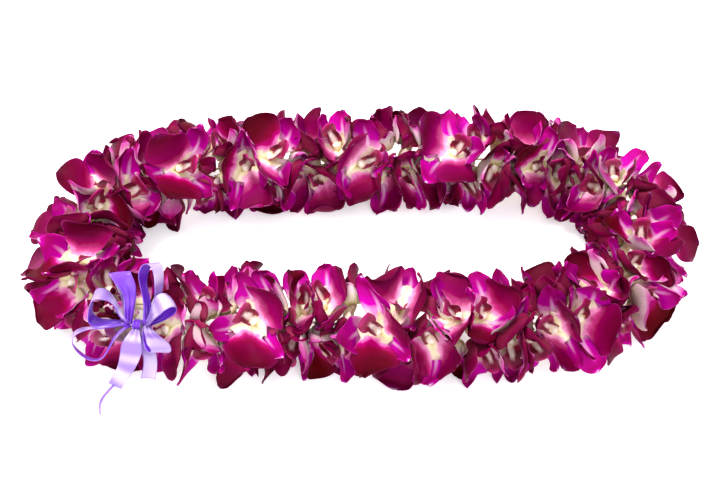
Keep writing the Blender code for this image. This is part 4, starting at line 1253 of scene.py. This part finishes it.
class Cloth:
    """Bands of ribbon gathered into one mesh."""

    def __init__(self):
        self.points = []
        self.faces = []
        self.uvs = []
        self.face = []
        self.length = 0.0
        self.area = 0.0

    def band(self, grid, lit_pale_first, start, share=1.0):
        """A closed band about a grid; the flag puts its pale face along its normals. The pale face
        carries painted light and the violet face carries painted shade.
        """
        rows, columns = grid.shape[:2]
        normal = surface_normal(grid)
        base = len(self.points)
        run = run_lengths(grid[:, columns // 2])
        for face in (0, 1):
            for i in range(rows):
                for j in range(columns):
                    self.points.append(grid[i, j] + normal[i, j] * RIBBON_FINE * (0.5 - face))
                    self.uvs.append(((start + run[i]) * 10.0, j / (columns - 1)))
                    # 1 marks the pale face, painted as lit; 0 marks the violet face, painted as
                    # shaded.
                    self.face.append(1.0 if (face == 0) == lit_pale_first else 0.0)

        def quad(*corners):
            self.faces.append(tuple(base + (face * rows + i) * columns + j
                                    for i, j, face in corners))

        for i in range(rows - 1):
            for j in range(columns - 1):
                quad((i, j, 0), (i, j + 1, 0), (i + 1, j + 1, 0), (i + 1, j, 0))
                quad((i, j, 1), (i + 1, j, 1), (i + 1, j + 1, 1), (i, j + 1, 1))
        last = columns - 1
        end = rows - 1
        for i in range(rows - 1):
            quad((i, 0, 0), (i + 1, 0, 0), (i + 1, 0, 1), (i, 0, 1))
            quad((i, last, 0), (i, last, 1), (i + 1, last, 1), (i + 1, last, 0))
        for j in range(columns - 1):
            quad((0, j, 0), (0, j, 1), (0, j + 1, 1), (0, j + 1, 0))
            quad((end, j, 0), (end, j + 1, 0), (end, j + 1, 1), (end, j, 1))
        self.length += run[-1]
        self.area += run[-1] * RIBBON_WIDTH * share

    def mesh(self, name, material):
        return finished_mesh(name, np.array(self.points), self.faces, np.array(self.uvs),
                             {"face": np.array(self.face)}, [material], [0] * len(self.faces))


def bow_cloth():
    """The loops of the bow."""
    cloth = Cloth()
    t = np.linspace(0.0, 1.0, LOOP_ROWS)
    near = np.clip(1.0 - np.minimum(t, 1.0 - t) / 0.24, 0.0, 1.0)
    tip = LOOP_ROWS // 2
    for number, (side, end, opening) in enumerate(LOOPS):
        local, across, width = loop_path(side, end, opening, t)
        grid = ribbon_grid(local, across, 0.5 * RIBBON_WIDTH * width, near,
                           0.0004 * np.sin(5.0 * t + number))
        # The pale face, painted as lit, goes on the outside of every loop but the first; the violet
        # face, painted as shaded, goes inside.
        normal = np.cross(grid[tip, 8] - grid[tip, 4], grid[tip + 1, 6] - grid[tip - 1, 6])
        outward = normal @ (grid[tip, 6] - grid.mean(axis=(0, 1))) > 0.0
        cloth.band(grid, outward == (number > 0), 0.07 * number)
    return cloth


def tie_cloth():
    """The loose ends of the bow and the tie round its waist."""
    cloth = Cloth()
    t = np.linspace(0.0, 1.0, TAIL_ROWS)
    for number, (controls, across, share) in enumerate(TAILS):
        halves = 0.5 * RIBBON_WIDTH * share * (0.32 + 0.68 * np.clip(t / 0.35, 0.0, 1.0))
        grid = ribbon_grid(curve_through(controls, TAIL_ROWS), across,
                           np.maximum(halves, THIN_HALF), np.clip(1.0 - t / 0.3, 0.0, 1.0),
                           0.0003 * np.sin(4.0 * t + number))
        cloth.band(grid, number == THIN_TAIL, 0.6 + 0.07 * number, share)
    angle = np.linspace(0.0, 2 * math.pi * TIE_TURNS, TIE_ROWS)
    middle = (TIE_INNER + TIE_OUTER) / 2
    radius = np.linspace(middle - TIE_WOUND, middle + TIE_WOUND, TIE_ROWS)
    ring = np.stack([0.0 * angle, radius * np.cos(angle), radius * np.sin(angle)], axis=-1)
    grid = ribbon_grid(ring, (1.0, 0.0, 0.0), np.full(TIE_ROWS, TIE_WIDTH / 2),
                       np.full(TIE_ROWS, 0.35), np.zeros(TIE_ROWS))
    cloth.band(grid, True, 0.9, TIE_WIDTH / RIBBON_WIDTH)
    return cloth


# --------------------------------------------------------------------- scene

def show(name, mesh, shift, node, slot):
    """Puts a finished mesh in its node's place."""
    co = np.empty(len(mesh.vertices) * 3, np.float32)
    mesh.vertices.foreach_get("co", co)
    mesh.vertices.foreach_set("co", (co.reshape(-1, 3) + shift).astype(np.float32).ravel())
    mesh.update()
    obj = linked(name, mesh)
    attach(obj, "root")
    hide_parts(node)
    return obj


def aimed(name, data, place, way):
    """A camera or a light at its place, looking the given way."""
    obj = linked(name, data)
    obj.location = place
    obj.rotation_mode = "QUATERNION"
    obj.rotation_quaternion = way.to_track_quat("-Z", "Y")
    return obj


def make_camera():
    data = bpy.data.cameras.new("camera")
    data.lens = LENS
    data.sensor_width = 36.0
    data.clip_end = 20.0
    rise = math.radians(CAMERA_RISE)
    back = Vector((0.0, -math.cos(rise), math.sin(rise)))
    camera = aimed("camera", data, Vector(AIM) + back * CAMERA_FAR, -back)
    bpy.context.scene.camera = camera


def make_lights():
    world = bpy.data.worlds.new("studio")
    world.use_nodes = True
    sky = world.node_tree.nodes["Background"]
    sky.inputs["Color"].default_value = SKY
    sky.inputs["Strength"].default_value = SKY_STRENGTH
    bpy.context.scene.world = world
    for name, place, size, power, colour in LIGHTS:
        data = bpy.data.lights.new(name, "AREA")
        data.shape = "DISK"
        data.size = size
        data.energy = power
        data.color = colour
        aimed(name, data, place, Vector(LIT) - Vector(place))


def make_floor():
    """White paper with a faint grain."""
    corners = [(x * FLOOR_HALF, y * FLOOR_HALF, 0.0)
               for x, y in ((-1, -1), (1, -1), (1, 1), (-1, 1))]
    mesh = bpy.data.meshes.new("floor")
    mesh.from_pydata(corners, [], [(0, 1, 2, 3)])
    material, n = principled("white_paper")
    paper = n.mix(n.noise(n.within(), 900.0), (0.95, 0.95, 0.955, 1.0), (0.965, 0.965, 0.97, 1.0))
    n.shade({"Base Color": paper, "Roughness": 0.9, "Specular IOR Level": 0.1,
             "Emission Color": (0.94, 0.96, 1.0, 1.0), "Emission Strength": FLOOR_GLOW})
    mesh.materials.append(material)
    floor = linked("floor", mesh)
    floor.location.z = FLOOR_HEIGHT


def main():
    make_camera()
    make_lights()
    make_floor()
    bpy.context.scene.view_settings.view_transform = "Standard"
    bpy.context.scene.view_settings.look = "Medium High Contrast"
    stations = thread_stations()
    shift = frame_shift(stations)
    veins = veins_group()
    materials = [petal_material(veins, velvet_group()), lip_material(veins), column_material(),
                 stem_material()]
    for index in range(1, len(STRUNG)):
        node = "bloom_%02d" % index
        show("lei_" + node, grow_place(index, stations, materials), shift, node, "orchid")
    show("thread_twist", twist_thread(stations, shift, thread_material()), 0.0, "thread", "thread")
    satin = satin_material()
    bow = bow_cloth()
    bow_piece = show("ribbon_loops", bow.mesh("ribbon_loops", satin), shift, "ribbon_bow", "ribbon")
    tie = tie_cloth()
    tie_piece = show("ribbon_ends", tie.mesh("ribbon_ends", satin), shift, "ribbon_tie", "ribbon")


main()
